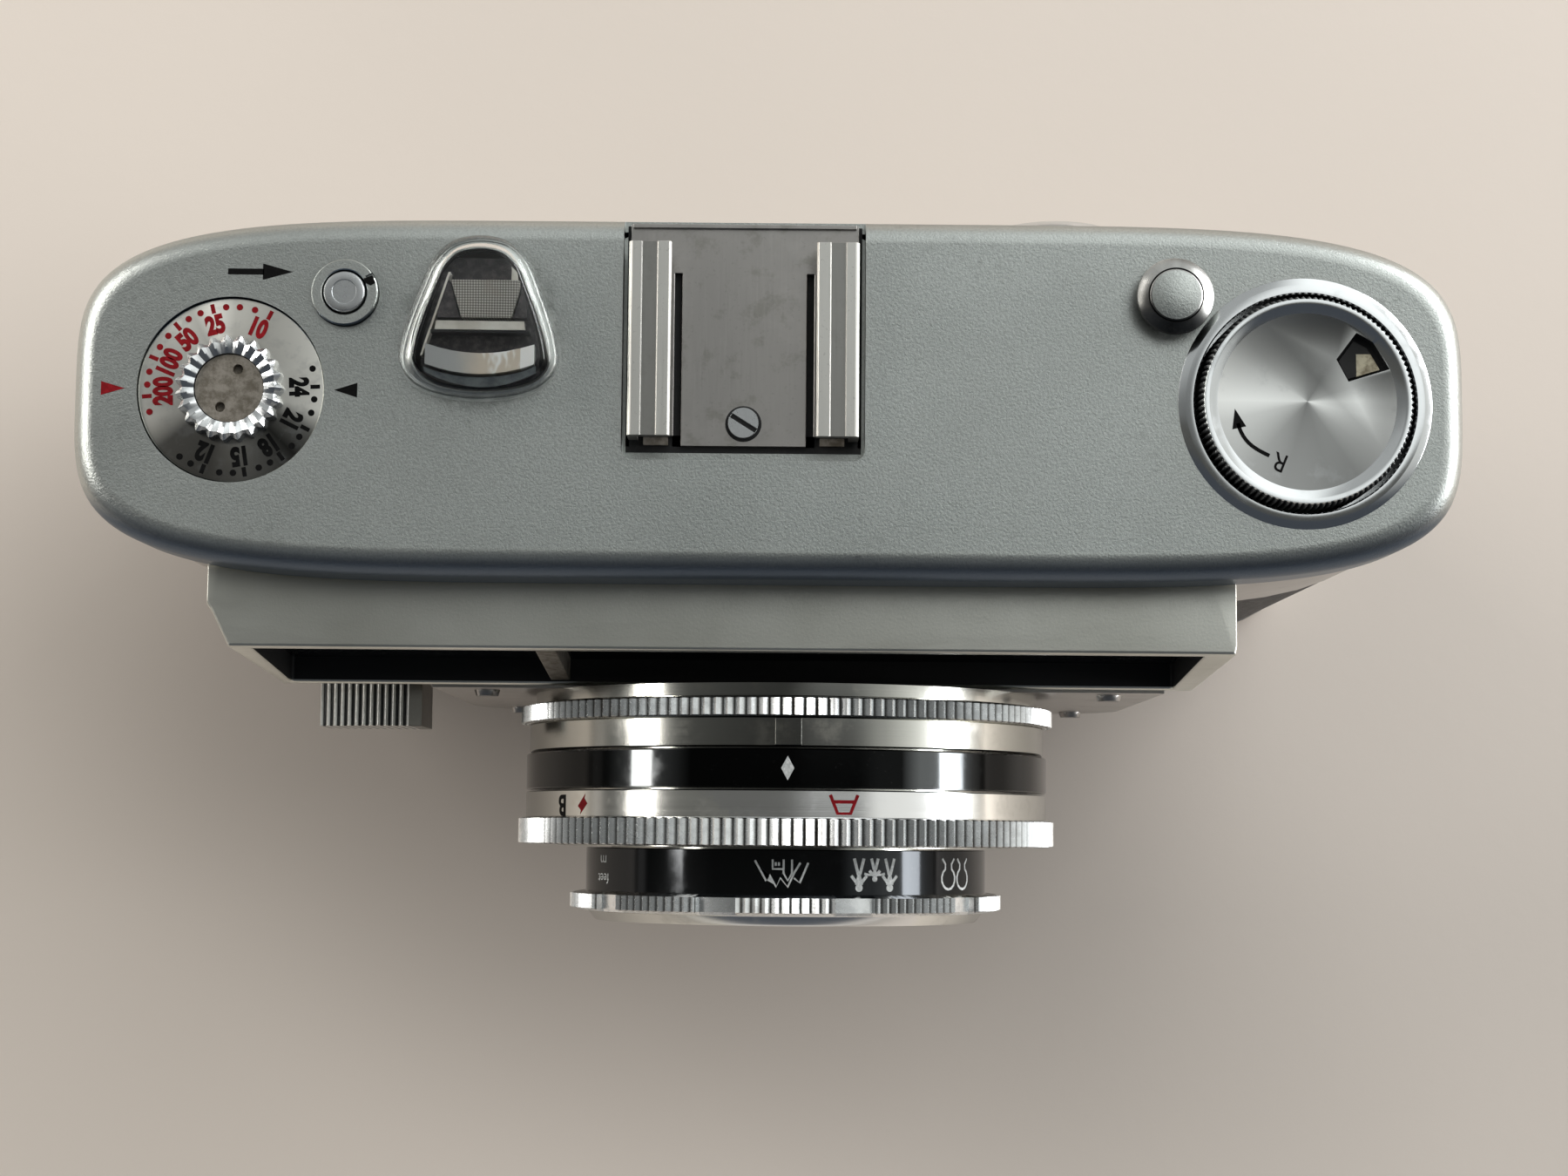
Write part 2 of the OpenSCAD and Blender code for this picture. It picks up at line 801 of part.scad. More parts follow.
module transport_indicator() {
    color("silver")
        translate([-indicator_x, indicator_y, 0])
            difference() {
                union() {
                    translate([0, 0, deck_z + 1])
                        cylinder(h = roof_z - deck_z, r = indicator_stem_r);
                    translate([0, 0, cover_z + 1 + play])
                        cylinder(h = top_height - cover_z - 0.6, r = indicator_r);
                }
                translate([0, 0, deck_z])
                    cylinder(h = 30, r = release_pin_r + fit);
                // one notch in the rim shows that the film moves
                rotate(38)
                    box(2.3, 4, -0.3, 0.3, top_height, top_height + 2);
            }
}

module rewind_release() {
    color("silver")
        translate([-indicator_x, indicator_y, deck_z + 2])
            cylinder(h = top_height + 0.9 - deck_z - 2, r = release_pin_r);
}

well_floor = cover_z + 1;

module rewind_well() {
    color("silver")
        translate([knob_x, knob_y, 0])
            difference() {
                translate([0, 0, well_floor])
                    cylinder(h = top_height - well_floor + 0.1, r = well_r);
                translate([0, 0, well_floor + 0.8])
                    cylinder(h = 10, r = well_r - 1.1);
                translate([0, 0, well_floor - 1])
                    cylinder(h = 10, r = sleeve_r + fit);
            }
}

knob_bottom = well_floor + 1.4;
shaft_r = 1.8;
sleeve_r = 3.6;
knob_top = top_height + 1.4;

module rewind_sleeve() {
    color("silver")
        translate([knob_x, knob_y, deck_z + 3])
            ring(sleeve_r, shaft_r + fit, knob_bottom - deck_z - 3 - 0.1);
}

// Outline of the window in the knob's face, measured from its middle
reminder_window = [[4.2, 6], [2.5, 3.7], [3.5, 1.7], [7.1, 2.8], [5.7, 5.2]];

module rewind_knob() {
    color("silver")
        translate([knob_x, knob_y, 0])
            difference() {
                union() {
                    translate([0, 0, knob_bottom])
                        linear_extrude(top_height - 0.6 - knob_bottom)
                            polygon(knurl_outline(knob_r, 0.25, 72));
                    translate([0, 0, top_height - 0.6])
                        cylinder(h = 1.2, r1 = knob_r - 0.2, r2 = knob_r - 0.8);
                    translate([0, 0, top_height + 0.6 - eps])
                        cylinder(h = knob_top - top_height - 0.6, r = knob_face_r + 0.35);
                }
                translate([0, 0, knob_top - 0.25])
                    cylinder(h = 1, r = knob_face_r);
                translate([0, 0, knob_bottom - 1])
                    cylinder(h = 5, r = shaft_r);
                translate([0, 0, knob_top - 1.6])
                    linear_extrude(2)
                        polygon(reminder_window);
            }
}

module rewind_shaft() {
    fork_z = deck_z + 0.5 - knob_lift;
    color("silver")
        translate([knob_x, knob_y, 0])
            difference() {
                union() {
                    translate([0, 0, deck_z + 0.5])
                        cylinder(h = knob_bottom + 4 - deck_z - 0.5, r = shaft_r);
                    translate([0, 0, fork_z])
                        cylinder(h = knob_lift + 0.1, r = shaft_r);
                }
                box(-3, 3, -0.6, 0.6, fork_z - 1, fork_z + 3.5);
            }
}

module reminder_disc() {
    color([0.85, 0.82, 0.68])
        translate([knob_x, knob_y, knob_top - 1.6])
            linear_extrude(0.5)
                polygon([for (p = reminder_window) [4.6, 3.9] + 0.8 * (p - [4.6, 3.9])]);
}

module knob_catch() {
    color("silver")
        translate([catch_x, catch_y, 0])
            union() {
                translate([0, 0, deck_z + 5])
                    cylinder(h = top_height + 1 - deck_z - 5, r = catch_stem_r);
                translate([0, 0, top_height + 1.5])
                    cylinder(h = 0.5, r = catch_r);
                translate([0, 0, top_height + 2 - eps])
                    cylinder(h = 0.5, r1 = catch_r, r2 = catch_r - 0.7);
                translate([0, 0, top_height + 1 - eps])
                    cylinder(h = 0.5 + 2 * eps, r = catch_stem_r);
            }
}

/* Release lever */

pad_w = 10.9;
pad_x = board_left + 2 + pad_w;                 // left side of the pad
pad_top = lens_z + 6;
pad_h = 8.5;
pad_y = half_d + leather_t + 3;
pad_t = 8.1;
pad_ribs = 12;
stem_x = pad_x - 5.6;

// Profile of the pad: top curving down towards the left, with grip ribs across it
function pad_profile() = concat(
    [[pad_w, pad_h - 0.6]],
    [for (i = [2 * pad_ribs:-1:0])
        let (u = i / (2 * pad_ribs), drop = 2.4 * pow(1 - u, 2.2))
        [0.3 + (pad_w - 1.6) * u, pad_h - drop - (i % 2 == 0 ? 0 : 0.45)]],
    [[0, pad_h - 3.4], [0.6, 0.4], [1.6, 0], [pad_w, 0]]);

module release_lever() {
    color("silver")
        union() {
            translate([-pad_x, -pad_y, pad_top - pad_h])
                rotate([90, 0, 0])
                    linear_extrude(pad_t)
                        polygon(pad_profile());
            // stem and guide foot behind the front wall
            box(-stem_x - 1, -stem_x + 1, -pad_y - eps, -half_d + cast_in + 4, pad_top - 6, pad_top - 2.5);
            box(-stem_x - 1.6, -stem_x + 1.6, -half_d + cast_in + 2, -half_d + cast_in + 4,
                pad_top - 7, pad_top - 2);
        }
}

spring_r = 1.1;
spring_wire = 0.2;
spring_turns = 6;
spring_z = 24.3;

// Return spring below the lever's foot, drawn as stacked rings joined by a guide rod
module release_spring() {
    spring_len = pad_top - 7 - spring_z - 0.2;
    color("silver")
        translate([-stem_x, -half_d + cast_in + 3, spring_z])
            union() {
                cylinder(h = spring_len, r = spring_r - spring_wire);
                for (i = [0:spring_turns])
                    translate([0, 0, spring_wire + i * (spring_len - 2 * spring_wire) / spring_turns])
                        rotate_extrude($fn = 48)
                            translate([spring_r - spring_wire, 0])
                                circle(r = spring_wire, $fn = 16);
            }
}

/* Lens */

module board_outline(inset) {
    x0 = -board_left + inset;
    x1 = board_right - inset;
    corner = 9;
    top = housing_bottom - 0.1 - inset;
    low = board_bottom + inset;
    union() {
        translate([x0, low + corner])
            square([x1 - x0, top - low - corner]);
        translate([x0 + corner, low])
            square([x1 - x0 - 2 * corner, corner + 1]);
        for (x = [x0 + corner, x1 - corner])
            translate([x, low + corner])
                circle(r = corner);
    }
}

board_t = 1.6;
board_screw_r = 0.65;

module lens_board() {
    color("silver")
        difference() {
            rotate([90, 0, 0])
                translate([0, 0, half_d - skin_in])
                    linear_extrude(board_y - half_d + skin_in)
                        board_outline(0);
            rotate([90, 0, 0])
                linear_extrude(board_y - board_t)
                    board_outline(1.2);
            body_slab(skin_in, 0, top_height);
            lens_axis(0)
                cylinder(h = board_y + 1, r = rear_tube_r);
            at_board_screws()
                translate([0, 0, -board_t - 1])
                    cylinder(h = board_t + 2, r = board_screw_r);
        }
}

// Places of the lens board's four screws, looking along the lens axis
module at_board_screws() {
    for (x = [-board_left + 5, board_right - 5], z = [board_bottom + 5, lens_z + 8.5])
        translate([x, -board_y, z])
            rotate([90, 0, 0])
                children();
}

module board_screws() {
    color("silver")
        at_board_screws()
            difference() {
                union() {
                    translate([0, 0, -board_t])
                        cylinder(h = board_t + eps, r = board_screw_r);
                    cylinder(h = 0.6, r1 = 2 * board_screw_r, r2 = 2 * board_screw_r - 0.2);
                }
                box(-2, 2, -0.2, 0.2, 0.25, 2);
            }
}

module lens_barrel() {
    color([0.75, 0.75, 0.75])
        difference() {
            union() {
                // tube through the lens board, closed behind the shutter
                lens_axis(half_d - 4)
                    cylinder(h = s_flange - half_d + 4 + eps, r = rear_tube_r);
                lens_axis(s_flange)
                    cylinder(h = flange_t, r = flange_r);
                lens_axis(s_flange + eps)
                    cylinder(h = s_focus - s_flange - 0.2, r = barrel_r);
                lens_axis(s_focus - 1)
                    cylinder(h = helicoid_end - s_focus + 1, r = helicoid_r);
            }
            lens_axis(0)
                cylinder(h = s_nose, r = front_lens_r);
            lens_axis(s_shutter)
                cylinder(h = shutter_gap, r = shutter_r);
        }
    // pins that the shutter blades turn on
    color([0.75, 0.75, 0.75]) {
        lens_axis(s_shutter - eps)
            translate([blade_x, blade_pivot, 0])
                cylinder(h = 1.2, r = blade_pin_r);
        lens_axis(s_shutter + 1.5)
            translate([-blade_x, blade_pivot, 0])
                cylinder(h = shutter_gap - 1.5 + eps, r = blade_pin_r);
    }
}

module aperture_ring() {
    color("silver")
        difference() {
            union() {
                lens_axis(s_rear)
                    linear_extrude(rear_knurl_w)
                        polygon(knurl_outline(rear_knurl_r, 0.35, 360 / tooth_pitch));
                lens_axis(s_rear + rear_knurl_w - eps)
                    cylinder(h = rear_band_w + eps, r = band_r - 0.2);
            }
            lens_axis(s_rear - 1)
                cylinder(h = 10, r = barrel_r + fit);
            // index notch at the top of the band
            translate([0, -s_rear - rear_knurl_w, lens_z + band_r - 0.4])
                box(-1.3, 1.3, -rear_band_w - 1, 0, 0, 1);
        }
}

module index_band() {
    color([0.06, 0.06, 0.06])
        lens_axis(s_index)
            ring(band_r + 0.1, barrel_r, index_w);
}

module mode_ring() {
    color("silver")
        difference() {
            union() {
                lens_axis(s_mode)
                    cylinder(h = scale_w + eps, r = band_r + 0.1);
                lens_axis(s_mode + scale_w)
                    linear_extrude(front_knurl_w)
                        polygon(knurl_outline(front_knurl_r, 0.4, 360 / tooth_pitch));
            }
            lens_axis(s_mode - 1)
                cylinder(h = 10, r = barrel_r + fit);
        }
}

module focus_ring() {
    color([0.06, 0.06, 0.06])
        difference() {
            union() {
                lens_axis(s_focus)
                    cylinder(h = focus_w + eps, r = focus_r);
                lens_axis(s_grip)
                    linear_extrude(grip_w)
                        polygon(grip_outline(grip_r, 0.9, 0.3));
                lens_axis(s_rim - eps)
                    cylinder(h = rim_w + eps, r1 = focus_r - 0.2, r2 = focus_r - 0.8);
            }
            lens_axis(s_focus - 1)
                cylinder(h = s_nose - s_focus + 1 - thread_len - cell_t, r = helicoid_r + fit);
            lens_axis(s_focus)
                cylinder(h = s_nose - s_focus, r = cell_r);
            lens_axis(s_nose - thread_len)
                cylinder(h = thread_len + 1, r = filter_r);
        }
}

module front_cell() {
    color([0.06, 0.06, 0.06])
        difference() {
            lens_axis(s_nose - thread_len - cell_t)
                cylinder(h = cell_t, r = cell_r);
            lens_axis(s_nose - thread_len - cell_t - 1)
                cylinder(h = cell_t + 2, r = front_lens_r);
            lens_axis(s_nose - thread_len - 1)
                cylinder(h = 2, r1 = front_lens_r - 1, r2 = front_lens_r + 5);
        }
}

// Lens element between two spherical faces, centred on the lens axis
module lens_element(r, t, curve) {
    sag = curve - sqrt(curve * curve - r * r);
    rotate_extrude()
        intersection() {
            translate([0, -sag])
                square([r, t + 2 * sag]);
            translate([0, t + sag - curve])
                circle(r = curve, $fn = 180);
            translate([0, curve - sag])
                circle(r = curve, $fn = 180);
        }
}

module front_lens() {
    color([0.55, 0.6, 0.75, 0.5])
        lens_axis(s_nose - thread_len - cell_t - 0.4)
            lens_element(front_lens_r, 1.2, 45);
}

module rear_lens() {
    color([0.55, 0.6, 0.75, 0.5])
        lens_axis(s_shutter - 4)
            lens_element(front_lens_r, 1.4, 40);
}

blade_t = 0.3;
blade_pivot = 14;
blade_x = 1.4;
blade_pin_r = 0.64;

// Half of the shutter: a leaf that turns about a pin above the light path
module shutter_leaf(side) {
    leaf_r = 7.2;
    lens_axis(s_shutter + 0.7 + (side > 0 ? 0 : 1))
        difference() {
            union() {
                intersection() {
                    cylinder(h = blade_t, r = leaf_r);
                    translate([side > 0 ? -0.8 : -leaf_r, -leaf_r, -1])
                        cube([leaf_r + 0.8, 2 * leaf_r, 3]);
                }
                linear_extrude(blade_t)
                    polygon([[side * 0.2, blade_pivot + 0.8], [side * -0.1, blade_pivot - 2],
                        [side * -0.8, 3], [side * 5.6, 3], [side * 3.4, blade_pivot]]);
                translate([side * blade_x, blade_pivot, 0])
                    cylinder(h = blade_t, r = 1.9);
            }
            translate([side * blade_x, blade_pivot, -1])
                cylinder(h = 3, r = blade_pin_r + fit);
        }
}

module shutter_blade_left() {
    color([0.2, 0.2, 0.22])
        shutter_leaf(-1);
}

module shutter_blade_right() {
    color([0.2, 0.2, 0.22])
        shutter_leaf(1);
}

/* Meter, film path and door */

meter_x = -8;
meter_y = -4;
meter_w = 16;
meter_depth = 12;
meter_h = 8;
meter_z = deck_z - meter_h + 1.2;

module light_meter() {
    color([0.25, 0.25, 0.25])
        difference() {
            box(meter_x - meter_w / 2, meter_x + meter_w / 2, meter_y - meter_depth / 2,
                meter_y + meter_depth / 2, meter_z, meter_z + meter_h);
            post(meter_x, meter_y, meter_z + 1, meter_z + meter_h + 1, meter_depth / 2 - 1);
            box(meter_x - 2, meter_x + meter_w / 2 + 1, meter_y - meter_depth / 2 + 1.4,
                meter_y + meter_depth / 2 - 1.4, meter_z + 5, meter_z + meter_h + 1);
        }
    color([0.25, 0.25, 0.25])
        post(meter_x, meter_y, meter_z + 1, meter_z + meter_h - 1.6, 0.5);
}

module meter_needle() {
    color([0.8, 0.2, 0.1])
        translate([meter_x, meter_y, meter_z + 5.4])
            difference() {
                union() {
                    cylinder(h = 0.8, r = 1.2);
                    rotate(-18)
                        box(0.9, 13, -0.25, 0.25, 0.2, 0.6);
                }
                translate([0, 0, -1])
                    cylinder(h = 3, r = 0.5 + fit);
            }
}

module take_up_spool() {
    color([0.1, 0.1, 0.1])
        translate([-spool_x, 0, 0])
            difference() {
                union() {
                    translate([0, 0, floor_z + play])
                        cylinder(h = chamber_h - 2 * play, r = spool_r);
                    for (z = [floor_z + play, deck_z - play - 1])
                        translate([0, 0, z])
                            cylinder(h = 1, r = spool_r + 2.5);
                    translate([0, 0, floor_z - deck_t - 1])
                        cylinder(h = deck_t + 2, r = 3);
                }
                // slit that holds the film's tongue
                box(-spool_r - 1, spool_r + 1, -0.7, 0.7, lens_z - 8, lens_z + 8);
            }
}

sprocket_teeth = 8;

module film_sprocket() {
    color("silver")
        translate([-sprocket_x, sprocket_y, 0])
            union() {
                translate([0, 0, floor_z + play])
                    cylinder(h = chamber_h - 2 * play, r = 3);
                translate([0, 0, floor_z - deck_t - 1])
                    cylinder(h = chamber_h + 2 * deck_t, r = journal_r);
                for (z = [lens_z - gate_h / 2 - 5, lens_z + gate_h / 2 + 1])
                    translate([0, 0, z]) {
                        cylinder(h = 4, r = sprocket_r - 0.2);
                        for (k = [0:sprocket_teeth - 1])
                            rotate(k * 360 / sprocket_teeth)
                                box(0, sprocket_r + 0.9, -0.7, 0.7, 1.3, 2.7);
                    }
            }
}

plate_y = film_y + 0.25;
plate_t = 0.8;
plate_margin = 5;
plate_float = 0.4;                              // how far the film can push the plate back
plate_half_h = gate_h / 2 + 4;

module pressure_plate() {
    color([0.15, 0.15, 0.15])
        box(-gate_w / 2 - plate_margin, gate_w / 2 + plate_margin, plate_y, plate_y + plate_t,
            lens_z - plate_half_h, lens_z + plate_half_h);
}

// Leaf spring between the pressure plate and the door
module plate_spring() {
    leaf_t = 0.25;
    leaf_half_w = 14;
    leaf_half_h = 5;
    rest = plate_y + plate_t + plate_float;
    y0 = rest + 0.3;
    color("silver")
        union() {
            box(-leaf_half_w, leaf_half_w, y0, y0 + leaf_t, lens_z - leaf_half_h, lens_z + leaf_half_h);
            box(-1.5, 1.5, y0, door_y, lens_z - 1.5, lens_z + 1.5);
            for (side = [-1, 1])
                box(side * (leaf_half_w - 1) - 1, side * (leaf_half_w - 1) + 1, rest + 0.05, y0 + 0.1,
                    lens_z - leaf_half_h, lens_z + leaf_half_h);
        }
}

module door_zone_solid(inset) {
    difference() {
        intersection() {
            body_slab(inset, door_bottom, door_top);
            box(-door_left, door_right, door_y, half_d + 1, door_bottom, door_top);
        }
        post(-hinge_x, hinge_y, 0, top_height, knuckle_r);
    }
}

knuckle_h = 8;

module back_door() {
    color("silver")
        difference() {
            union() {
                door_zone_solid(skin_in + leather_t);
                // rim and plain head of the door, flush with the leather
                difference() {
                    door_zone_solid(skin_in);
                    box(-door_left + 1, door_right - 1, door_y - 1, half_d + 1,
                        door_bottom + 1, band_bottom + 1);
                }
                for (z = [door_bottom, door_top - knuckle_h]) {
                    post(-hinge_x, hinge_y, z, z + knuckle_h, knuckle_r);
                    box(-hinge_x, -door_left + 1, door_y + 0.2, door_y + 1.3, z, z + knuckle_h);
                }
            }
            post(-hinge_x, hinge_y, door_bottom - 1, door_top + 1, hinge_pin_r + fit);
            // notch around the eyepiece
            finder_axis(0)
                cylinder(h = half_d + 2, r = bezel_r + play);
            // slot for the latch
            box(latch_x - 2.5, latch_x + 2.5, half_d - 2.4, half_d + 1, lens_z - 9, lens_z + 9);
        }
}

module door_leather() {
    color([0.08, 0.08, 0.08])
        difference() {
            intersection() {
                body_slab(skin_in + 0.05, door_bottom + 1.05, band_bottom + 0.95);
                box(-door_left + 1.05, door_right - 1.05, door_y, half_d + 1,
                    door_bottom + 1, band_bottom + 1);
            }
            body_slab(skin_in + leather_t, door_bottom, band_bottom + 2);
            box(latch_x - 3.7, door_right + 1, door_y, half_d + 1, lens_z - 10.2, lens_z + 10.2);
        }
}

// Pin and the body's own knuckle between the door's two
module hinge_pin() {
    color("silver")
        union() {
            post(-hinge_x, hinge_y, door_bottom - play, door_top + play, hinge_pin_r);
            post(-hinge_x, hinge_y, door_bottom + knuckle_h + play,
                door_top - knuckle_h - play, knuckle_r);
            box(-hinge_x - 0.6, -hinge_x + 0.6, hinge_y - knuckle_r - play + 0.12, hinge_y,
                door_bottom + knuckle_h + play, door_top - knuckle_h - play);
        }
}

latch_travel = 4;

module door_latch() {
    low = latch_x - 2.2;
    high = latch_x + 2.2;
    color("silver")
        union() {
            box(low, high, half_d - 2.3, half_d - 1.5, lens_z - 8.8, lens_z + 8.8 - latch_travel);
            box(low, high, half_d - 1.6, half_d, lens_z - 6, lens_z + 2);
            for (i = [0:5])
                box(low, high, half_d - 0.1, half_d + 0.4, lens_z - 5.8 + 1.4 * i, lens_z - 5.2 + 1.4 * i);
        }
}

/* Bottom controls */

module advance_lever() {
    color("silver")
        translate([-spool_x, 0, lever_z])
            difference() {
                union() {
                    cylinder(h = lever_t, r = 5.5);
                    rotate(50)
                        linear_extrude(lever_t)
                            polygon([[0, -5], [lever_len - 6, -3.4], [lever_len - 1, -3],
                                [lever_len, -1.8], [lever_len, 2.2], [lever_len - 1.4, 3.2],
                                [lever_len - 8, 3.4], [0, 5]]);
                }
                translate([0, 0, -1])
                    cylinder(h = 5, r = pivot_r + fit);
            }
}

pivot_r = 2;
pivot_head_r = 2.4;

module lever_pivot() {
    color("silver")
        translate([-spool_x, 0, 0])
            difference() {
                union() {
                    translate([0, 0, 0.2])
                        cylinder(h = 1, r = pivot_head_r);
                    translate([0, 0, 1.1])
                        cylinder(h = floor_z - deck_t - 2.4, r = pivot_r);
                }
                box(-3, 3, -0.35, 0.35, 0, 0.7);
            }
}

counter_x = -16;
counter_y = 2;

module frame_counter() {
    color([0.9, 0.9, 0.88])
        translate([counter_x, counter_y, sheet_wall + play])
            difference() {
                linear_extrude(0.8)
                    polygon(knurl_outline(8.2, 0.5, 40));
                translate([0, 0, -1])
                    cylinder(h = 3, r = 1.5 + fit);
            }
}

module counter_post() {
    color("silver")
        post(counter_x, counter_y, sheet_wall, floor_z, 1.5);
}

body_casting();
cassette_casting();
satin_band();
leather_wrap();
bottom_plate();
tripod_bush();
top_cover();
cover_screws();
front_housing();
window_divider();
finder_window();
cell_window();
selenium_cell();
finder_front_lens();
finder_eye_lens();
eyepiece_bezel();
dome_window();
light_block();
shoe_plate();
shoe_rails();
shoe_screw();
film_speed_dial();
dial_retainer();
transport_indicator();
rewind_release();
rewind_well();
rewind_sleeve();
rewind_knob();
rewind_shaft();
reminder_disc();
knob_catch();
release_lever();
release_spring();
lens_board();
board_screws();
lens_barrel();
aperture_ring();
index_band();
mode_ring();
focus_ring();
front_cell();
front_lens();
rear_lens();
shutter_blade_left();
shutter_blade_right();
light_meter();
meter_needle();
take_up_spool();
film_sprocket();
pressure_plate();
plate_spring();
back_door();
door_leather();
hinge_pin();
door_latch();
advance_lever();
lever_pivot();
frame_counter();
counter_post();
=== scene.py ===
"""Looks of a compact 35 mm viewfinder camera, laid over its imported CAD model."""

import math

import bmesh
import bpy
from mathutils import Matrix, Vector


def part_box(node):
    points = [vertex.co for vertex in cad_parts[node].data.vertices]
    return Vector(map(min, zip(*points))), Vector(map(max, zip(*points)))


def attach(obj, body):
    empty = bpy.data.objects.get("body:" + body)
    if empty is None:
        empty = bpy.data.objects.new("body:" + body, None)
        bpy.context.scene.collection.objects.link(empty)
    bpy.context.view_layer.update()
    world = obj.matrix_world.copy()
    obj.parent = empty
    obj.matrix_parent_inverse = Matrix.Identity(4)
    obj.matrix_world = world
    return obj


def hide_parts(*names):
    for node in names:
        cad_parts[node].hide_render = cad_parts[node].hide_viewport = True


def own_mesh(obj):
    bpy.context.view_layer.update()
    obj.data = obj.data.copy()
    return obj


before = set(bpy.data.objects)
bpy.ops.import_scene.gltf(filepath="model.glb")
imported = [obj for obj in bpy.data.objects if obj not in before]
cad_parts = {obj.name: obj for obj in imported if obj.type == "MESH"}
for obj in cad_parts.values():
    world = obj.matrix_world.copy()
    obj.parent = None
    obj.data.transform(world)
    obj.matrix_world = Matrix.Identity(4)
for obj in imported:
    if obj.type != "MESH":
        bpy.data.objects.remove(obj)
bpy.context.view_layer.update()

bl_info = {
    "name": "Viewfinder camera",
    "version": (1, 0, 0),
    "blender": (4, 5, 0),
    "location": "3D View > Sidebar > Camera",
    "description": "Builds the finished pieces of a compact viewfinder camera",
    "category": "Add Mesh",
}

MM = 0.001
DEG = math.pi / 180


# ---------------------------------------------------------------- places read from the frame

def middle(node):
    low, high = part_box(node)
    return (low + high) / 2


def half_width(node):
    low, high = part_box(node)
    return (high.x - low.x) / 2


COVER_LOW, COVER_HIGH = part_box("top_cover")
TOP_Z = COVER_HIGH.z
LENS = middle("index_band")
DIAL = middle("film_speed_dial")
KNOB = middle("rewind_knob")
INDICATOR = middle("transport_indicator")
CATCH = middle("knob_catch")
DOME = middle("dome_window")
SHOE_LOW, SHOE_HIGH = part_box("shoe_plate")


# ---------------------------------------------------------------- settings

def length_setting(name, text, default):
    return bpy.props.FloatProperty(
        name=name, description=text, default=default, min=0.0, max=0.2, subtype="DISTANCE", unit="LENGTH")


def colour_setting(name, text, default):
    return bpy.props.FloatVectorProperty(
        name=name, description=text, default=default, size=3, min=0.0, max=1.0, subtype="COLOR")


class CameraSizes(bpy.types.PropertyGroup):
    """Sizes that the dressing adds to the CAD model"""

    edge_round: length_setting("Edge round", "Rounding of machined edges", 0.12 * MM)
    cover_round: length_setting("Cover round", "Rounding of the top cover's rim", 2.3 * MM)
    figure_height: length_setting("Figure height", "Height of the dial's figures", 1.56 * MM)
    mark_raise: length_setting("Mark raise", "Thickness of paint marks", 0.02 * MM)
    release_stroke: length_setting("Release stroke", "Travel of the release lever", 7.0 * MM)
    knurl_teeth: bpy.props.IntProperty(
        name="Knurl teeth", description="Teeth on a large knurled ring", default=153, min=60, max=240)


class CameraColours(bpy.types.PropertyGroup):
    """Colours of the finishes"""

    satin: colour_setting("Satin chrome", "Fine satin chrome of the top cover", (0.55, 0.575, 0.555))
    shell: colour_setting("Satin shell", "Smooth satin metal below the cover", (0.50, 0.48, 0.46))
    chrome: colour_setting("Chrome", "Polished chrome", (0.74, 0.76, 0.77))
    leather: colour_setting("Leatherette", "Black leatherette", (0.022, 0.021, 0.021))
    red: colour_setting("Red fill", "Red paint in the figures", (0.21, 0.008, 0.012))
    floor: colour_setting("Floor", "Pale floor", (0.80, 0.715, 0.64))


def sizes():
    return bpy.context.scene.camera_sizes


def colours():
    return bpy.context.scene.camera_colours


# ---------------------------------------------------------------- shader maths

class Value:
    """One socket of a material, which takes part in Python arithmetic"""

    def __init__(self, shader, socket):
        self.shader = shader
        self.socket = socket

    def _math(self, operation, *terms):
        node = self.shader.add("ShaderNodeMath", {"operation": operation}, dict(enumerate(terms)))
        return node.out(0)

    def __add__(self, other):
        return self._math("ADD", self, other)

    __radd__ = __add__

    def __mul__(self, other):
        return self._math("MULTIPLY", self, other)

    __rmul__ = __mul__

    def __sub__(self, other):
        return self._math("SUBTRACT", self, other)

    def __rsub__(self, other):
        return self._math("SUBTRACT", other, self)

    def __gt__(self, other):
        return self._math("GREATER_THAN", self, other)

    def __lt__(self, other):
        return self._math("LESS_THAN", self, other)

    def wave(self):
        return self._math("SINE", self)

    def size(self):
        return self._math("ABSOLUTE", self)

    def root(self):
        return self._math("SQRT", self)

    def angle_to(self, other):
        return self._math("ARCTAN2", self, other)

    def between(self, low, high, new_low=0.0, new_high=1.0):
        """Smooth step from low to high; low may be the greater of the two"""
        node = self.shader.add("ShaderNodeMapRange", {"clamp": True, "interpolation_type": "SMOOTHSTEP"}, {
            "Value": self, "From Min": low, "From Max": high, "To Min": new_low, "To Max": new_high})
        return node.out(0)


class Node:
    """A node of a material, with its outputs by name or number"""

    def __init__(self, shader, node):
        self.shader = shader
        self.node = node

    def out(self, name):
        return Value(self.shader, self.node.outputs[name])


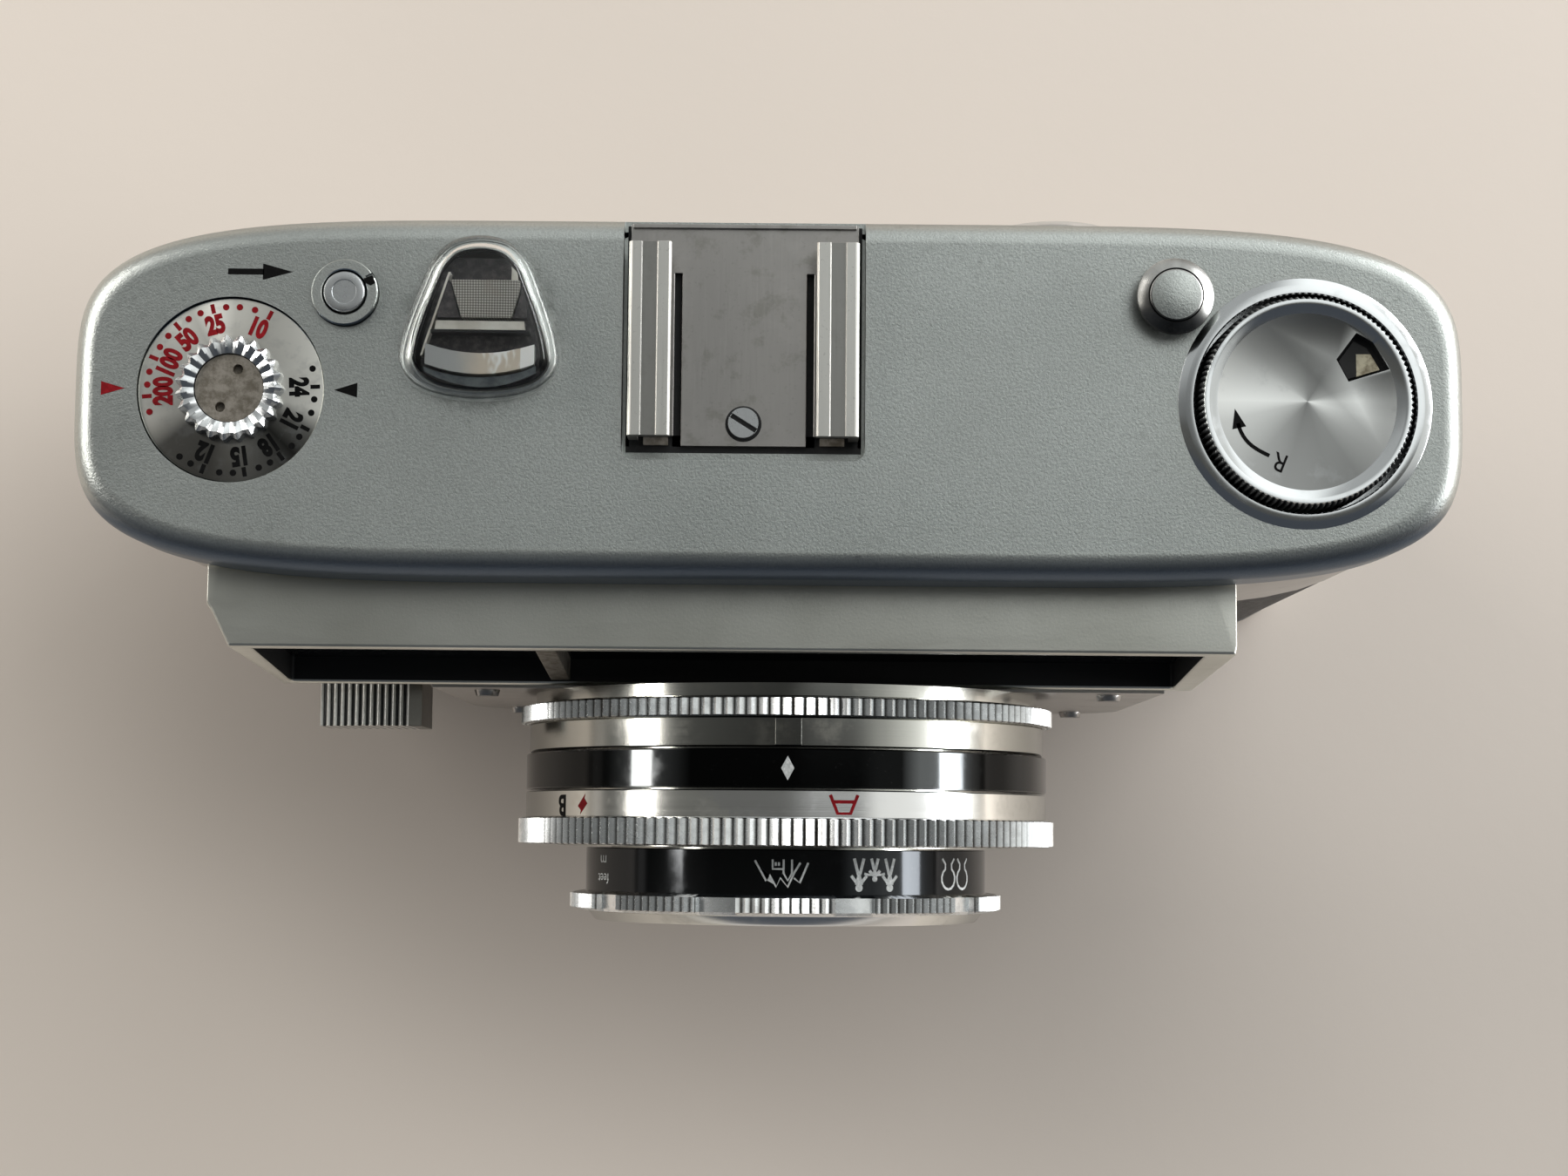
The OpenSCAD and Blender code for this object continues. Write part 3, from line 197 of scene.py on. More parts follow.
class Shader:
    """The nodes of a material or of the world, made one expression at a time"""

    def __init__(self, name, store=None, output="ShaderNodeOutputMaterial"):
        self.material = (bpy.data.materials if store is None else store).new(name)
        self.material.use_nodes = True
        self.tree = self.material.node_tree
        self.tree.nodes.clear()
        self.output = self.add(output).node

    def add(self, kind, settings=None, inputs=None):
        """A node of that type, with its settings and the values or links of its sockets"""
        node = self.tree.nodes.new(kind)
        for key, value in (settings or {}).items():
            if key == "stops":
                self.set_stops(node.color_ramp, value)
            else:
                setattr(node, key, value)
        for key, value in (inputs or {}).items():
            if isinstance(value, Value):
                self.tree.links.new(value.socket, node.inputs[key])
            elif isinstance(value, (int, float)):
                node.inputs[key].default_value = value
            else:
                node.inputs[key].default_value = (*value, 1.0)
        return Node(self, node)

    @staticmethod
    def set_stops(ramp, stops):
        while len(ramp.elements) < len(stops):
            ramp.elements.new(0.5)
        for element, (place, colour) in zip(ramp.elements, stops):
            element.position = place
            element.color = (*colour, 1.0)

    def place(self):
        """The point on the piece, in metres from the object's origin"""
        return self.add("ShaderNodeTexCoord").out("Object")

    def parts(self, vector):
        node = self.add("ShaderNodeSeparateXYZ", {}, {"Vector": vector})
        return node.out("X"), node.out("Y"), node.out("Z")

    def joined(self, x, y, z):
        return self.add("ShaderNodeCombineXYZ", {}, {"X": x, "Y": y, "Z": z}).out(0)

    def noise(self, vector, scale, detail=3.0, roughness=0.5):
        return self.add("ShaderNodeTexNoise", {}, {
            "Vector": vector, "Scale": scale, "Detail": detail, "Roughness": roughness}).out("Fac")

    def mixed(self, factor, first, second):
        """A colour between two, or between two values, by a factor"""
        return self.add("ShaderNodeMix", {"data_type": "RGBA"}, {0: factor, 6: first, 7: second}).out(2)

    @staticmethod
    def away(across, along):
        """Distance from the origin in the plane of two values"""
        return (across * across + along * along).root()

    def surface(self, colour, roughness, bump, **more):
        """The material, with bump as what makes it, its strength and its depth in millimetres"""
        height, strength, depth = bump
        normal = self.add("ShaderNodeBump", {}, {
            "Height": height, "Strength": strength, "Distance": depth * MM}).out(0)
        named = {"Base Color": colour, "Roughness": roughness, "Normal": normal}
        named |= {key.replace("_", " "): value for key, value in more.items()}
        return self.shown(self.add("ShaderNodeBsdfPrincipled", {}, named))

    def shown(self, node):
        """The finished material or world, with that node as its surface"""
        self.tree.links.new(node.out(0).socket, self.output.inputs["Surface"])
        return self.material


def shade(colour, factor):
    """The colour made lighter or darker"""
    return tuple(min(1.0, part * factor) for part in colour)


def finish(maker):
    """Makes a material once, from a function of its shader and the point on the piece"""
    made = []

    def get():
        if not made:
            shader = Shader(maker.__name__)
            made.append(maker(shader, shader.place()))
        return made[0]
    return get


# ---------------------------------------------------------------- finishes

def specks(shader, place, pitch, low, high):
    """Mask of small specks about one pitch apart"""
    return shader.noise(place, 1.0 / pitch, 2.0, 0.6).between(low, high)


@finish
def satin_cover(s, place):
    """Fine bead-blasted chrome with grime in its grain, painted shade and dirt in rings round the raised
    parts, a painted navy reflection on faces turned to the front and painted shade on faces turned to the
    back
    """
    tone = colours().satin
    x, y, z = s.parts(place)
    cloud = s.noise(place, 38.0, 3.0, 0.55)
    grain = s.noise(place, 5200.0, 3.0, 0.7)
    grit = specks(s, place, 0.24 * MM, 0.60, 0.74)
    rub = s.noise(place, 120.0, 5.0, 0.65).between(0.55, 0.75)
    colour = s.mixed(cloud.between(0.3, 0.7), shade(tone, 0.93), shade(tone, 1.07))
    colour = s.mixed(grain.between(0.60, 0.36) * 0.32, colour, shade(tone, 0.60))
    colour = s.mixed(grit * 0.22, colour, shade(tone, 0.62))
    colour = s.mixed(rub * 0.12, colour, shade(tone, 1.22))
    # Rings round the dome, catch, knob well and indicator: painted shade at the foot of each part, mixed with
    # dirt
    dirt = s.noise(place, 650.0, 4.0, 0.7)
    for centre, near, far, much in ((DOME + Vector((0, -0.7 * MM, 0)), 7.0, 9.0, 0.5), (CATCH, 3.3, 4.6, 0.9),
                                    (KNOB, 11.2, 12.2, 0.5), (INDICATOR, 3.2, 4.4, 0.3)):
        away = s.away(x - centre.x, y - centre.y) + dirt * 1.2 * MM
        ring_shade_and_dirt = away.between(far * MM, near * MM) * dirt.between(0.35, 0.6) * (z < TOP_Z + 0.1 * MM)
        colour = s.mixed(ring_shade_and_dirt * much, colour, shade(tone, 0.28))
    worn = s.noise(place, 1300.0, 3.0, 0.7).between(0.56, 0.66)
    patch = s.noise(place, 90.0, 3.0, 0.6).between(0.50, 0.64)
    colour = s.mixed(worn * patch * 0.35, colour, shade(tone, 0.5))
    # Painted reflection and shade: faces turned to the front take the navy of the dark room, faces turned to
    # the back are darkened
    facing = s.parts(s.add("ShaderNodeNewGeometry").out("Normal"))[1]
    colour = s.mixed(facing.between(-0.30, -0.72) * 0.9, colour, (0.066, 0.098, 0.150))
    colour = s.mixed(facing.between(0.70, 0.97) * 0.6, colour, shade(tone, 0.35))
    rough = 0.27 + grain * 0.08 - rub * 0.04 + cloud * 0.05
    return s.surface(colour, rough, (grain, 0.75, 0.045), Metallic=0.97)


@finish
def housing_satin(s, place):
    """Smooth warm satin of the front housing, blackened inside its window openings"""
    low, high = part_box("front_housing")
    x, y, z = s.parts(place)
    cloud = s.noise(place, 55.0, 3.0, 0.55)
    grain = s.noise(place, 4200.0, 3.0, 0.7)
    smear = s.noise(s.joined(x * 0.2, y, z), 260.0, 4.0, 0.65).between(0.52, 0.72)
    colour = s.mixed(cloud.between(0.3, 0.7), (0.66, 0.66, 0.60), (0.80, 0.80, 0.74))
    colour = s.mixed(smear * 0.2, colour, (0.42, 0.41, 0.37))
    wall = 0.95 * MM
    inner = ((z < high.z - wall) * (z > low.z + wall) * (y > low.y + 0.35 * MM)
             * (x > low.x + 4.05 * MM) * (x < high.x - 2.85 * MM))
    colour = s.mixed(inner, colour, (0.004, 0.004, 0.005))
    return s.surface(colour, 0.3 + grain * 0.08 + inner * 0.3, (grain, 0.3, 0.03),
                     Metallic=0.95 - inner * 0.9)


@finish
def satin_shell(s, place):
    """Smooth satin plate with faint draw lines"""
    tone = colours().shell
    x, y, z = s.parts(place)
    lines = s.noise(s.joined(x * 0.06, y * 0.06, z), 2600.0, 2.0, 0.5)
    cloud = s.noise(place, 60.0, 4.0, 0.6)
    smear = s.noise(place, 210.0, 4.0, 0.7).between(0.52, 0.72)
    colour = s.mixed(cloud.between(0.3, 0.7), shade(tone, 0.92), shade(tone, 1.08))
    colour = s.mixed(smear * 0.15, colour, shade(tone, 0.72))
    rough = 0.30 + lines * 0.08 + smear * 0.10
    return s.surface(colour, rough, (lines, 0.25, 0.02), Metallic=1.0)


@finish
def bright_chrome(s, place):
    """Polished chrome with hairlines and a few rubbed places"""
    tone = colours().chrome
    hair = s.noise(place, 900.0, 4.0, 0.7)
    rub = s.noise(place, 260.0, 4.0, 0.6).between(0.5, 0.7)
    colour = s.mixed(rub * 0.35, tone, shade(tone, 0.80))
    rough = 0.12 + rub * 0.12 + hair * 0.06
    return s.surface(colour, rough, (hair, 0.1, 0.01), Metallic=1.0)


def lathe_lines(shader, place, centre, axis):
    """Distance from a turning axis, angle about it in radians, and place along it"""
    x, y, z = shader.parts(place)
    across = x - centre.x
    other = (z - centre.z) if axis == "Y" else (y - centre.y)
    return shader.away(across, other), other.angle_to(across), (y if axis == "Y" else z)


def painted_light_by_angle(shader, angle, levels, tint):
    """Colour of a turned face around its centre, from brightness at angles in degrees: painted highlights and
    shade
    """
    stops = [((degrees + 180) / 360, tuple(part * level for part in tint)) for degrees, level in levels]
    return shader.add("ShaderNodeValToRGB", {"stops": stops},
                      {"Fac": angle * (0.5 / math.pi) + 0.5}).out("Color")


@finish
def spun_face(s, place):
    """Spun disc of the rewind knob: fine rings, with its radial glint painted in as highlights and shade by
    angle
    """
    tone = colours().chrome
    distance, angle, _ = lathe_lines(s, place, KNOB, "Z")
    rings = s.noise(s.joined(distance, 0.0, 0.0), 9000.0, 3.0, 0.8)
    # Painted highlights and shade round the face, by angle
    level = [(-180, 0.80), (-165, 0.52), (-150, 0.41), (-130, 0.28), (-105, 0.22), (-75, 0.25), (-55, 0.32),
             (-38, 0.55), (-22, 0.84), (-12, 1.0), (2, 1.0), (12, 0.70), (20, 0.53), (60, 0.29), (90, 0.34),
             (120, 0.47), (135, 0.55), (150, 0.72), (180, 0.80)]
    colour = painted_light_by_angle(s, angle + rings * 0.04, level, (0.99, 1.0, 0.98))
    stain = s.noise(place, 330.0, 4.0, 0.7).between(0.56, 0.72)
    colour = s.mixed(stain * 0.25, colour, shade(tone, 0.55))
    return s.surface(colour, rings * 0.12 + 0.24, (rings, 0.15, 0.008), Metallic=1.0)


@finish
def turned_metal(s, place):
    """Plain turned or milled chrome of the small controls"""
    tone = colours().chrome
    grain = s.noise(place, 2400.0, 3.0, 0.7)
    rub = s.noise(place, 420.0, 4.0, 0.6).between(0.45, 0.72)
    colour = s.mixed(rub * 0.5, shade(tone, 0.92), shade(tone, 0.62))
    return s.surface(colour, 0.22 + grain * 0.12 + rub * 0.08, (grain, 0.22, 0.02), Metallic=1.0)


@finish
def catch_bevel(s, place):
    """Bevel of the catch: painted highlight on one side, painted shade on the other, with grease in its grain
    """
    distance, angle, _ = lathe_lines(s, place, CATCH, "Z")
    grain = s.noise(place, 1800.0, 3.0, 0.7)
    line = distance.between(2.46 * MM, 2.40 * MM) * distance.between(2.28 * MM, 2.32 * MM)
    # Painted highlight and shade round the bevel, by angle
    level = [(-180, 0.10), (-140, 0.16), (-100, 0.06), (-60, 0.12), (-35, 0.35), (-15, 1.0), (10, 0.9),
             (40, 0.35), (80, 0.30), (115, 0.75), (140, 0.55), (160, 0.16), (180, 0.10)]
    colour = painted_light_by_angle(s, angle, level, (0.95, 0.95, 0.92))
    colour = s.mixed(grain.between(0.5, 0.7) * 0.3, colour, (0.20, 0.19, 0.17))
    colour = s.mixed(line, colour, (0.03, 0.03, 0.03))
    return s.surface(colour, 0.24 + grain * 0.1, (grain, 0.1, 0.01), Metallic=0.97)


@finish
def etched_dial(s, place):
    """Satin face of the film-speed dial, with turning marks and painted highlights and shade by angle"""
    tone = colours().chrome
    distance, angle, _ = lathe_lines(s, place, DIAL, "Z")
    rings = s.noise(s.joined(distance, 0.0, 0.0), 7000.0, 3.0, 0.7)
    grime = s.noise(place, 700.0, 4.0, 0.6).between(0.5, 0.7)
    # Painted highlights and shade round the face, by angle
    level = [(-180, 0.98), (-160, 0.88), (-140, 0.14), (-105, 0.12), (-80, 0.27), (-45, 0.03),
             (-27, 0.18), (-12, 1.0), (20, 1.0), (60, 0.46), (88, 0.56), (104, 1.0), (118, 0.66), (130, 1.0),
             (150, 1.0), (180, 0.98)]
    colour = painted_light_by_angle(s, angle, level, (0.99, 0.97, 0.90))
    colour = s.mixed(grime * 0.25, colour, shade(tone, 0.4))
    return s.surface(colour, 0.26 + rings * 0.12, (rings, 0.25, 0.01), Metallic=1.0, Anisotropic=0.75)


def knurled(name, crest, root):
    """Chrome of a knurled ring, with painted shade and dirt in the roots of its teeth"""
    tone = colours().chrome
    s = Shader(name)
    place = s.place()
    distance, _, _ = lathe_lines(s, place, LENS, "Y")
    span = crest - root
    # Roots of the teeth darkened: painted shade, made uneven by dirt
    groove = distance.between(crest - span * 0.50, root + span * 0.05) * (distance > root - 0.1 * MM)
    worn = s.noise(place, 900.0, 4.0, 0.65)
    dirt = s.noise(place, 130.0, 3.0, 0.6).between(0.50, 0.70)
    colour = s.mixed(worn.between(0.4, 0.7), shade(tone, 1.3), shade(tone, 1.05))
    colour = s.mixed(groove * (0.80 + dirt * 0.15), colour, (0.045, 0.040, 0.033))
    colour = s.mixed(dirt * worn * 0.4, colour, (0.16, 0.10, 0.065))
    return s.surface(colour, 0.2 + worn * 0.14, (worn, 0.3, 0.03), Metallic=0.97)


@finish
def ribbed_pad(s, place):
    """Thumb pad of the release lever: painted highlights on the rib tops over painted shade in the grooves,
    with a dull plain side
    """
    pitch, plain_from = 0.775 * MM, 9.35 * MM
    across = s.parts(place)[0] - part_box("release_lever")[0].x - 0.3 * MM
    # Rib tops painted light and grooves painted dark, in step with the ribs
    rib = (across * (2 * math.pi / pitch) + math.pi / 2).wave().between(-0.75, 0.35)
    plain = across > plain_from
    worn = s.noise(place, 600.0, 4.0, 0.65)
    colour = s.mixed(rib * (1 - plain), (0.07, 0.072, 0.072), (0.78, 0.78, 0.75))
    colour = s.mixed(plain, colour, (0.17, 0.165, 0.15))
    colour = s.mixed(worn.between(0.5, 0.75) * 0.3, colour, (0.22, 0.21, 0.19))
    return s.surface(colour, 0.26 + worn * 0.14, (worn, 0.2, 0.02), Metallic=0.95)


@finish
def dark_knurl(s, place):
    """Fine knurl of the rewind knob, near black for painted shade in the gap round the knob, with grease"""
    ridge = s.add("ShaderNodeNewGeometry").out("Pointiness").between(0.49, 0.58)
    worn = s.noise(place, 700.0, 4.0, 0.65)
    # Near black: painted shade of the gap round the knob, lighter only on worn ridges
    colour = s.mixed(ridge * worn, (0.035, 0.036, 0.038), (0.36, 0.37, 0.37))
    return s.surface(colour, 0.34 + worn * 0.12, (worn, 0.2, 0.02), Metallic=0.8)


def turned_band(s, place, level, tint=(0.80, 0.80, 0.75)):
    """Plain band of the lens, turned, faintly scratched around and unevenly dulled, with painted reflections
    of the windows by angle
    """
    distance, angle, along = lathe_lines(s, place, LENS, "Y")
    lines = s.noise(s.joined(0.0, along, distance), 8000.0, 2.0, 0.7)
    scratch = s.noise(s.joined(angle * 0.02, along * 3.0, 0.0), 900.0, 4.0, 0.7).between(0.62, 0.72)
    stain = s.noise(place, 260.0, 4.0, 0.65).between(0.52, 0.70)
    # Painted reflections of the windows and the room round the band, by angle
    colour = painted_light_by_angle(s, angle + lines * 0.03, level, tint)
    colour = s.mixed(stain * 0.3, colour, (0.42, 0.40, 0.35))
    colour = s.mixed(scratch * 0.3, colour, (0.50, 0.50, 0.47))
    return s.surface(colour, 0.11 + lines * 0.1 + stain * 0.08, (lines, 0.1, 0.008), Metallic=1.0)


@finish
def ring_band(s, place):
    """Bands beside the knurls"""
    # Painted reflections by angle
    level = [(-180, 0.5), (25, 0.5), (44, 0.75), (48, 1.15), (62, 1.1), (70, 0.50), (78, 0.22), (86, 0.19),
             (94, 0.26), (102, 0.34), (112, 0.50), (118, 1.15), (128, 1.1), (133, 0.50), (180, 0.4)]
    return turned_band(s, place, level)


@finish
def scale_chrome(s, place):
    """Bright bands with the mode marks and round the front"""
    # Painted reflections by angle
    level = [(-180, 0.5), (20, 0.6), (40, 0.9), (60, 1.3), (95, 1.3), (110, 1.1), (128, 0.75), (150, 0.45),
             (180, 0.45)]
    return turned_band(s, place, level, (0.90, 0.90, 0.86))


@finish
def black_lacquer(s, place):
    """Gloss black lacquer with dust and faint wear, with painted glints where the windows meet it"""
    distance, angle, _ = lathe_lines(s, place, LENS, "Y")
    dust = specks(s, place, 0.35 * MM, 0.66, 0.76)
    wear = s.noise(place, 300.0, 4.0, 0.6).between(0.5, 0.75)
    # Painted glints at the angles where the windows reflect
    level = [(-180, 0.010), (25, 0.010), (32, 0.035), (38, 0.010), (45, 0.010), (49, 0.06), (55, 0.16),
             (62, 0.16), (66, 0.010), (110, 0.010), (116, 0.16), (125, 0.16), (130, 0.012), (180, 0.010)]
    colour = painted_light_by_angle(s, angle, level, (0.92, 0.97, 1.0))
    # The focus band, nearer the axis, keeps its painted glints faint
    colour = s.mixed((distance < 21.2 * MM) * 0.85, colour, (0.028, 0.030, 0.033))
    colour = s.mixed(dust * 0.25, colour, (0.10, 0.10, 0.10))
    return s.surface(colour, 0.08 + wear * 0.1, (wear, 0.06, 0.015), Metallic=0.9, Specular_IOR_Level=0.2)


@finish
def black_matt(s, place):
    """Matt black lacquer inside the body"""
    grain = s.noise(place, 3000.0, 3.0, 0.7)
    dust = specks(s, place, 0.5 * MM, 0.62, 0.75)
    colour = s.mixed(dust * 0.3, (0.012, 0.012, 0.013), (0.05, 0.05, 0.05))
    return s.surface(colour, 0.55 + grain * 0.2, (grain, 0.3, 0.02))


@finish
def leatherette(s, place):
    """Pebbled leatherette"""
    tone = colours().leather
    warp = s.noise(place, 700.0, 2.0, 0.5)
    pebble = s.add("ShaderNodeTexVoronoi", {"feature": "F1"}, {
        "Vector": place, "Scale": 1150.0, "Randomness": 1.0}).out("Distance")
    crease = s.noise(place, 2200.0, 3.0, 0.6)
    height = pebble.between(0.05, 0.62, 1.0, 0.0) + crease * 0.25 + warp * 0.2
    colour = s.mixed(height.between(0.3, 1.1), shade(tone, 0.5), shade(tone, 1.7))
    return s.surface(colour, 0.62 - height * 0.14, (height, 0.55, 0.16))


@finish
def steel_plain(s, place):
    """Plain steel of shafts, screws and springs"""
    grain = s.noise(place, 1500.0, 4.0, 0.7)
    stain = s.noise(place, 240.0, 3.0, 0.6).between(0.5, 0.75)
    colour = s.mixed(stain * 0.4, (0.46, 0.46, 0.46), (0.28, 0.26, 0.24))
    return s.surface(colour, 0.28 + grain * 0.15, (grain, 0.2, 0.02), Metallic=1.0)


@finish
def aged_brass(s, place):
    """Nickelled brass of the tripod bush"""
    grain = s.noise(place, 1200.0, 4.0, 0.7)
    worn = s.noise(place, 400.0, 3.0, 0.6).between(0.45, 0.65)
    colour = s.mixed(worn, (0.50, 0.47, 0.42), (0.60, 0.45, 0.24))
    return s.surface(colour, 0.28 + grain * 0.15, (grain, 0.2, 0.02), Metallic=1.0)


@finish
def floor_paper(s, place):
    """Floor: painted shadows under the lens, at the left end, and in front on the right"""
    tone = colours().floor
    fibre = s.noise(place, 500.0, 4.0, 0.6)
    cloud = s.noise(place, 6.0, 3.0, 0.5)
    x, y, _ = s.parts(place)
    # Painted shadows of the camera on the floor
    painted_lens_shadow = s.away(x * 0.8 + (y + 0.045) * 0.5 + 0.002, (y + 0.038) * 0.95).between(0.066, 0.016)
    painted_end_shadow = s.away(x + 0.082, (y + 0.008) * 0.9).between(0.042, 0.006)
    painted_front_shadow = (x - y * 1.2).between(0.07, 0.16) * y.between(-0.01, -0.06)
    colour = s.mixed(cloud.between(0.3, 0.7), shade(tone, 0.97), shade(tone, 1.03))
    colour = s.mixed(painted_lens_shadow * 0.34, colour, shade(tone, 0.12))
    colour = s.mixed(painted_end_shadow * 0.17, colour, (0.12, 0.08, 0.05))
    colour = s.mixed(painted_front_shadow * 0.10, colour, (0.1, 0.1, 0.1))
    return s.surface(colour, 0.9, (fibre, 0.2, 0.1), Specular_IOR_Level=0.1)


def glassy(s, place, tint, transmission, roughness=0.03, index=1.49, dust=0.25):
    """Clear solid with a little dust and smear on it"""
    smear = s.noise(place, 240.0, 4.0, 0.65).between(0.5, 0.8)
    motes = specks(s, place, 0.4 * MM, 0.66, 0.78)
    colour = s.mixed(motes * dust, tint, (0.55, 0.55, 0.52))
    return s.surface(colour, roughness + smear * 0.08 + motes * 0.15, (smear, 0.05, 0.02),
                     Transmission_Weight=transmission, IOR=index)


@finish
def clear_glass(s, place):
    """Finder lenses"""
    return glassy(s, place, (0.82, 0.86, 0.87), 0.96, index=1.5)


@finish
def window_glass(s, place):
    """Dark panes of the two front windows"""
    return glassy(s, place, (0.10, 0.11, 0.12), 0.90, roughness=0.02, index=1.2)


@finish
def coated_glass(s, place):
    """Violet-coated lens of the camera"""
    return glassy(s, place, (0.42, 0.46, 0.72), 0.90, index=1.6)


@finish
def clear_plastic(s, place):
    """Clear dome over the light window"""
    return glassy(s, place, (0.96, 0.97, 0.965), 1.0, roughness=0.01, index=1.32, dust=0.12)


@finish
def cell_face(s, place):
    """Dark iridescent face of the light cell"""
    bands = (s.parts(place)[0] * 2400.0).wave()
    tint = s.noise(place, 150.0, 3.0, 0.5)
    colour = s.mixed(tint.between(0.35, 0.65), (0.010, 0.012, 0.022), (0.030, 0.020, 0.030))
    return s.surface(colour, 0.25 + tint * 0.1, (bands, 0.3, 0.05), Metallic=0.4)


@finish
def reminder_card(s, place):
    """Film reminder in the knob: black, with a cream field in one corner"""
    x, y, _ = s.parts(place)
    field = (x > KNOB.x + 4.5 * MM) * (y < KNOB.y + 4.4 * MM)
    dirt = s.noise(place, 900.0, 4.0, 0.7)
    cream = s.mixed(dirt.between(0.4, 0.7), (0.62, 0.57, 0.42), (0.24, 0.20, 0.13))
    colour = s.mixed(field, (0.006, 0.006, 0.006), cream)
    return s.surface(colour, 0.5 + dirt * 0.2, (dirt, 0.2, 0.03))


@finish
def white_plastic(s, place):
    """White plastic of the frame counter"""
    speck = specks(s, place, 0.5 * MM, 0.6, 0.75)
    colour = s.mixed(speck * 0.3, (0.70, 0.70, 0.67), (0.50, 0.48, 0.42))
    return s.surface(colour, 0.35 + speck * 0.2, (speck, 0.1, 0.02))


def paint(s, place, tone):
    """Filled paint of a mark, a little uneven"""
    chip = s.noise(place, 2600.0, 3.0, 0.7)
    colour = s.mixed(chip.between(0.4, 0.75), tone, shade(tone, 1.6))
    return s.surface(colour, 0.5 + chip * 0.2, (chip, 0.2, 0.01), Specular_IOR_Level=0.08)


@finish
def red_paint(s, place):
    """Red fill of the figures"""
    return paint(s, place, colours().red)


@finish
def black_paint(s, place):
    """Black fill of the figures and arrows"""
    return paint(s, place, (0.004, 0.004, 0.004))


@finish
def white_paint(s, place):
    """White marks of the black bands"""
    return paint(s, place, (0.62, 0.64, 0.63))


@finish
def dull_disc(s, place):
    """Stained metal of the disc inside the dial's crown"""
    stain = s.noise(place, 900.0, 4.0, 0.7)
    grain = s.noise(place, 6000.0, 3.0, 0.7)
    colour = s.mixed(stain.between(0.35, 0.65), (0.17, 0.15, 0.12), (0.34, 0.31, 0.27))
    return s.surface(colour, 0.42 + grain * 0.2, (grain + stain, 0.35, 0.03), Metallic=0.7)


@finish
def shoe_metal(s, place):
    """Nickel-plated steel of the shoe, brushed along its length, with stains where feet don't rub"""
    tone = colours().shell
    low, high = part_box("shoe_rails")
    x, y, z = s.parts(place)
    lines = s.noise(s.joined(x, y * 0.03, z), 5200.0, 3.0, 0.6)
    rub = s.noise(place, 190.0, 4.0, 0.65).between(0.5, 0.72)
    blot = s.noise(place, 420.0, 4.0, 0.7).between(0.52, 0.68)
    grit = specks(s, place, 0.3 * MM, 0.62, 0.74)
    across = (high.x - low.x) / 2 - (x - (low.x + high.x) / 2).size()
    groove = (across > 1.12 * MM) * (across < 2.52 * MM) * (z > high.z - 0.5 * MM)
    lip = (z > high.z - 0.5 * MM) * (1 - groove)
    colour = s.mixed(rub * 0.4, shade(tone, 0.95), shade(tone, 1.2))
    colour = s.mixed(blot * (1 - lip) * 0.35, colour, (0.26, 0.25, 0.21))
    colour = s.mixed(lip * 0.8, colour, (0.86, 0.85, 0.80))
    colour = s.mixed(groove * 0.7, colour, (0.33, 0.33, 0.31))
    colour = s.mixed(grit * 0.25, colour, shade(tone, 0.5))
    return s.surface(colour, 0.26 + lines * 0.16, (lines, 0.25, 0.012), Metallic=1.0)


@finish
def hatched_card(s, place):
    """Cross-hatched diffuser at the back of the domed window"""
    x, y, _ = s.parts(place)
    first = ((x + y) * 13000.0).wave()
    second = ((x - y) * 13000.0).wave()
    hatch = (first * second).between(-0.3, 0.5)
    haze = s.noise(place, 420.0, 3.0, 0.6)
    colour = s.mixed(hatch, (0.15, 0.14, 0.125), (0.46, 0.445, 0.41))
    colour = s.mixed(haze.between(0.45, 0.7) * 0.5, colour, (0.25, 0.22, 0.19))
    return s.surface(colour, 0.3 + haze * 0.2, (hatch, 0.4, 0.05), Metallic=0.3)


def mottled(s, place, scale, detail, share, colours_of, rough, bump, **more):
    """Finish that wavers between two colours: rough is its least and what the noise adds"""
    cloud = s.noise(place, scale, detail, 0.6 if detail < 4 else 0.7)
    colour = s.mixed(cloud.between(*share), *colours_of)
    return s.surface(colour, rough[0] + cloud * rough[1], (cloud, bump[0], bump[1]), **more)


@finish
def milky_lens(s, place):
    """Pale moulded bar in the domed window"""
    return mottled(s, place, 300.0, 3.0, (0.35, 0.65), ((0.50, 0.47, 0.41), (0.70, 0.68, 0.62)),
                   (0.12, 0.1), (0.1, 0.03), Coat_Weight=0.6)


@finish
def bright_lens(s, place):
    """Curved lens that carries light into the finder: grey to the left, cream to the right, with painted
    white highlights in its facets and at its right end
    """
    x, y, _ = s.parts(place)
    along = x - DOME.x
    facet = s.noise(s.joined(x, y * 0.4, 0.0), 420.0, 3.0, 0.6)
    colour = s.mixed((along + facet * 2.5 * MM).between(-1.5 * MM, 1.6 * MM), (0.40, 0.41, 0.41),
                     (0.66, 0.58, 0.48))
    # Painted white highlights in the facets and at the right end
    colour = s.mixed(facet.between(0.46, 0.54) * (along > 0.2 * MM), colour, (0.92, 0.92, 0.90))
    colour = s.mixed((along > 3.6 * MM) * 0.9, colour, (0.95, 0.95, 0.94))
    return s.surface(colour, 0.14 + facet * 0.1, (facet, 0.1, 0.03), Coat_Weight=0.5)


@finish
def slate_plastic(s, place):
    """Grey-blue edge of the moulding in the domed window"""
    return mottled(s, place, 700.0, 3.0, (0.35, 0.65), ((0.075, 0.09, 0.10), (0.15, 0.17, 0.18)),
                   (0.25, 0.15), (0.15, 0.03))


@finish
def dark_card(s, place):
    """Dark purple-brown floor under the domed window"""
    return mottled(s, place, 1500.0, 4.0, (0.4, 0.7), ((0.022, 0.019, 0.022), (0.075, 0.066, 0.066)),
                   (0.4, 0.2), (0.2, 0.02))


# ---------------------------------------------------------------- meshes

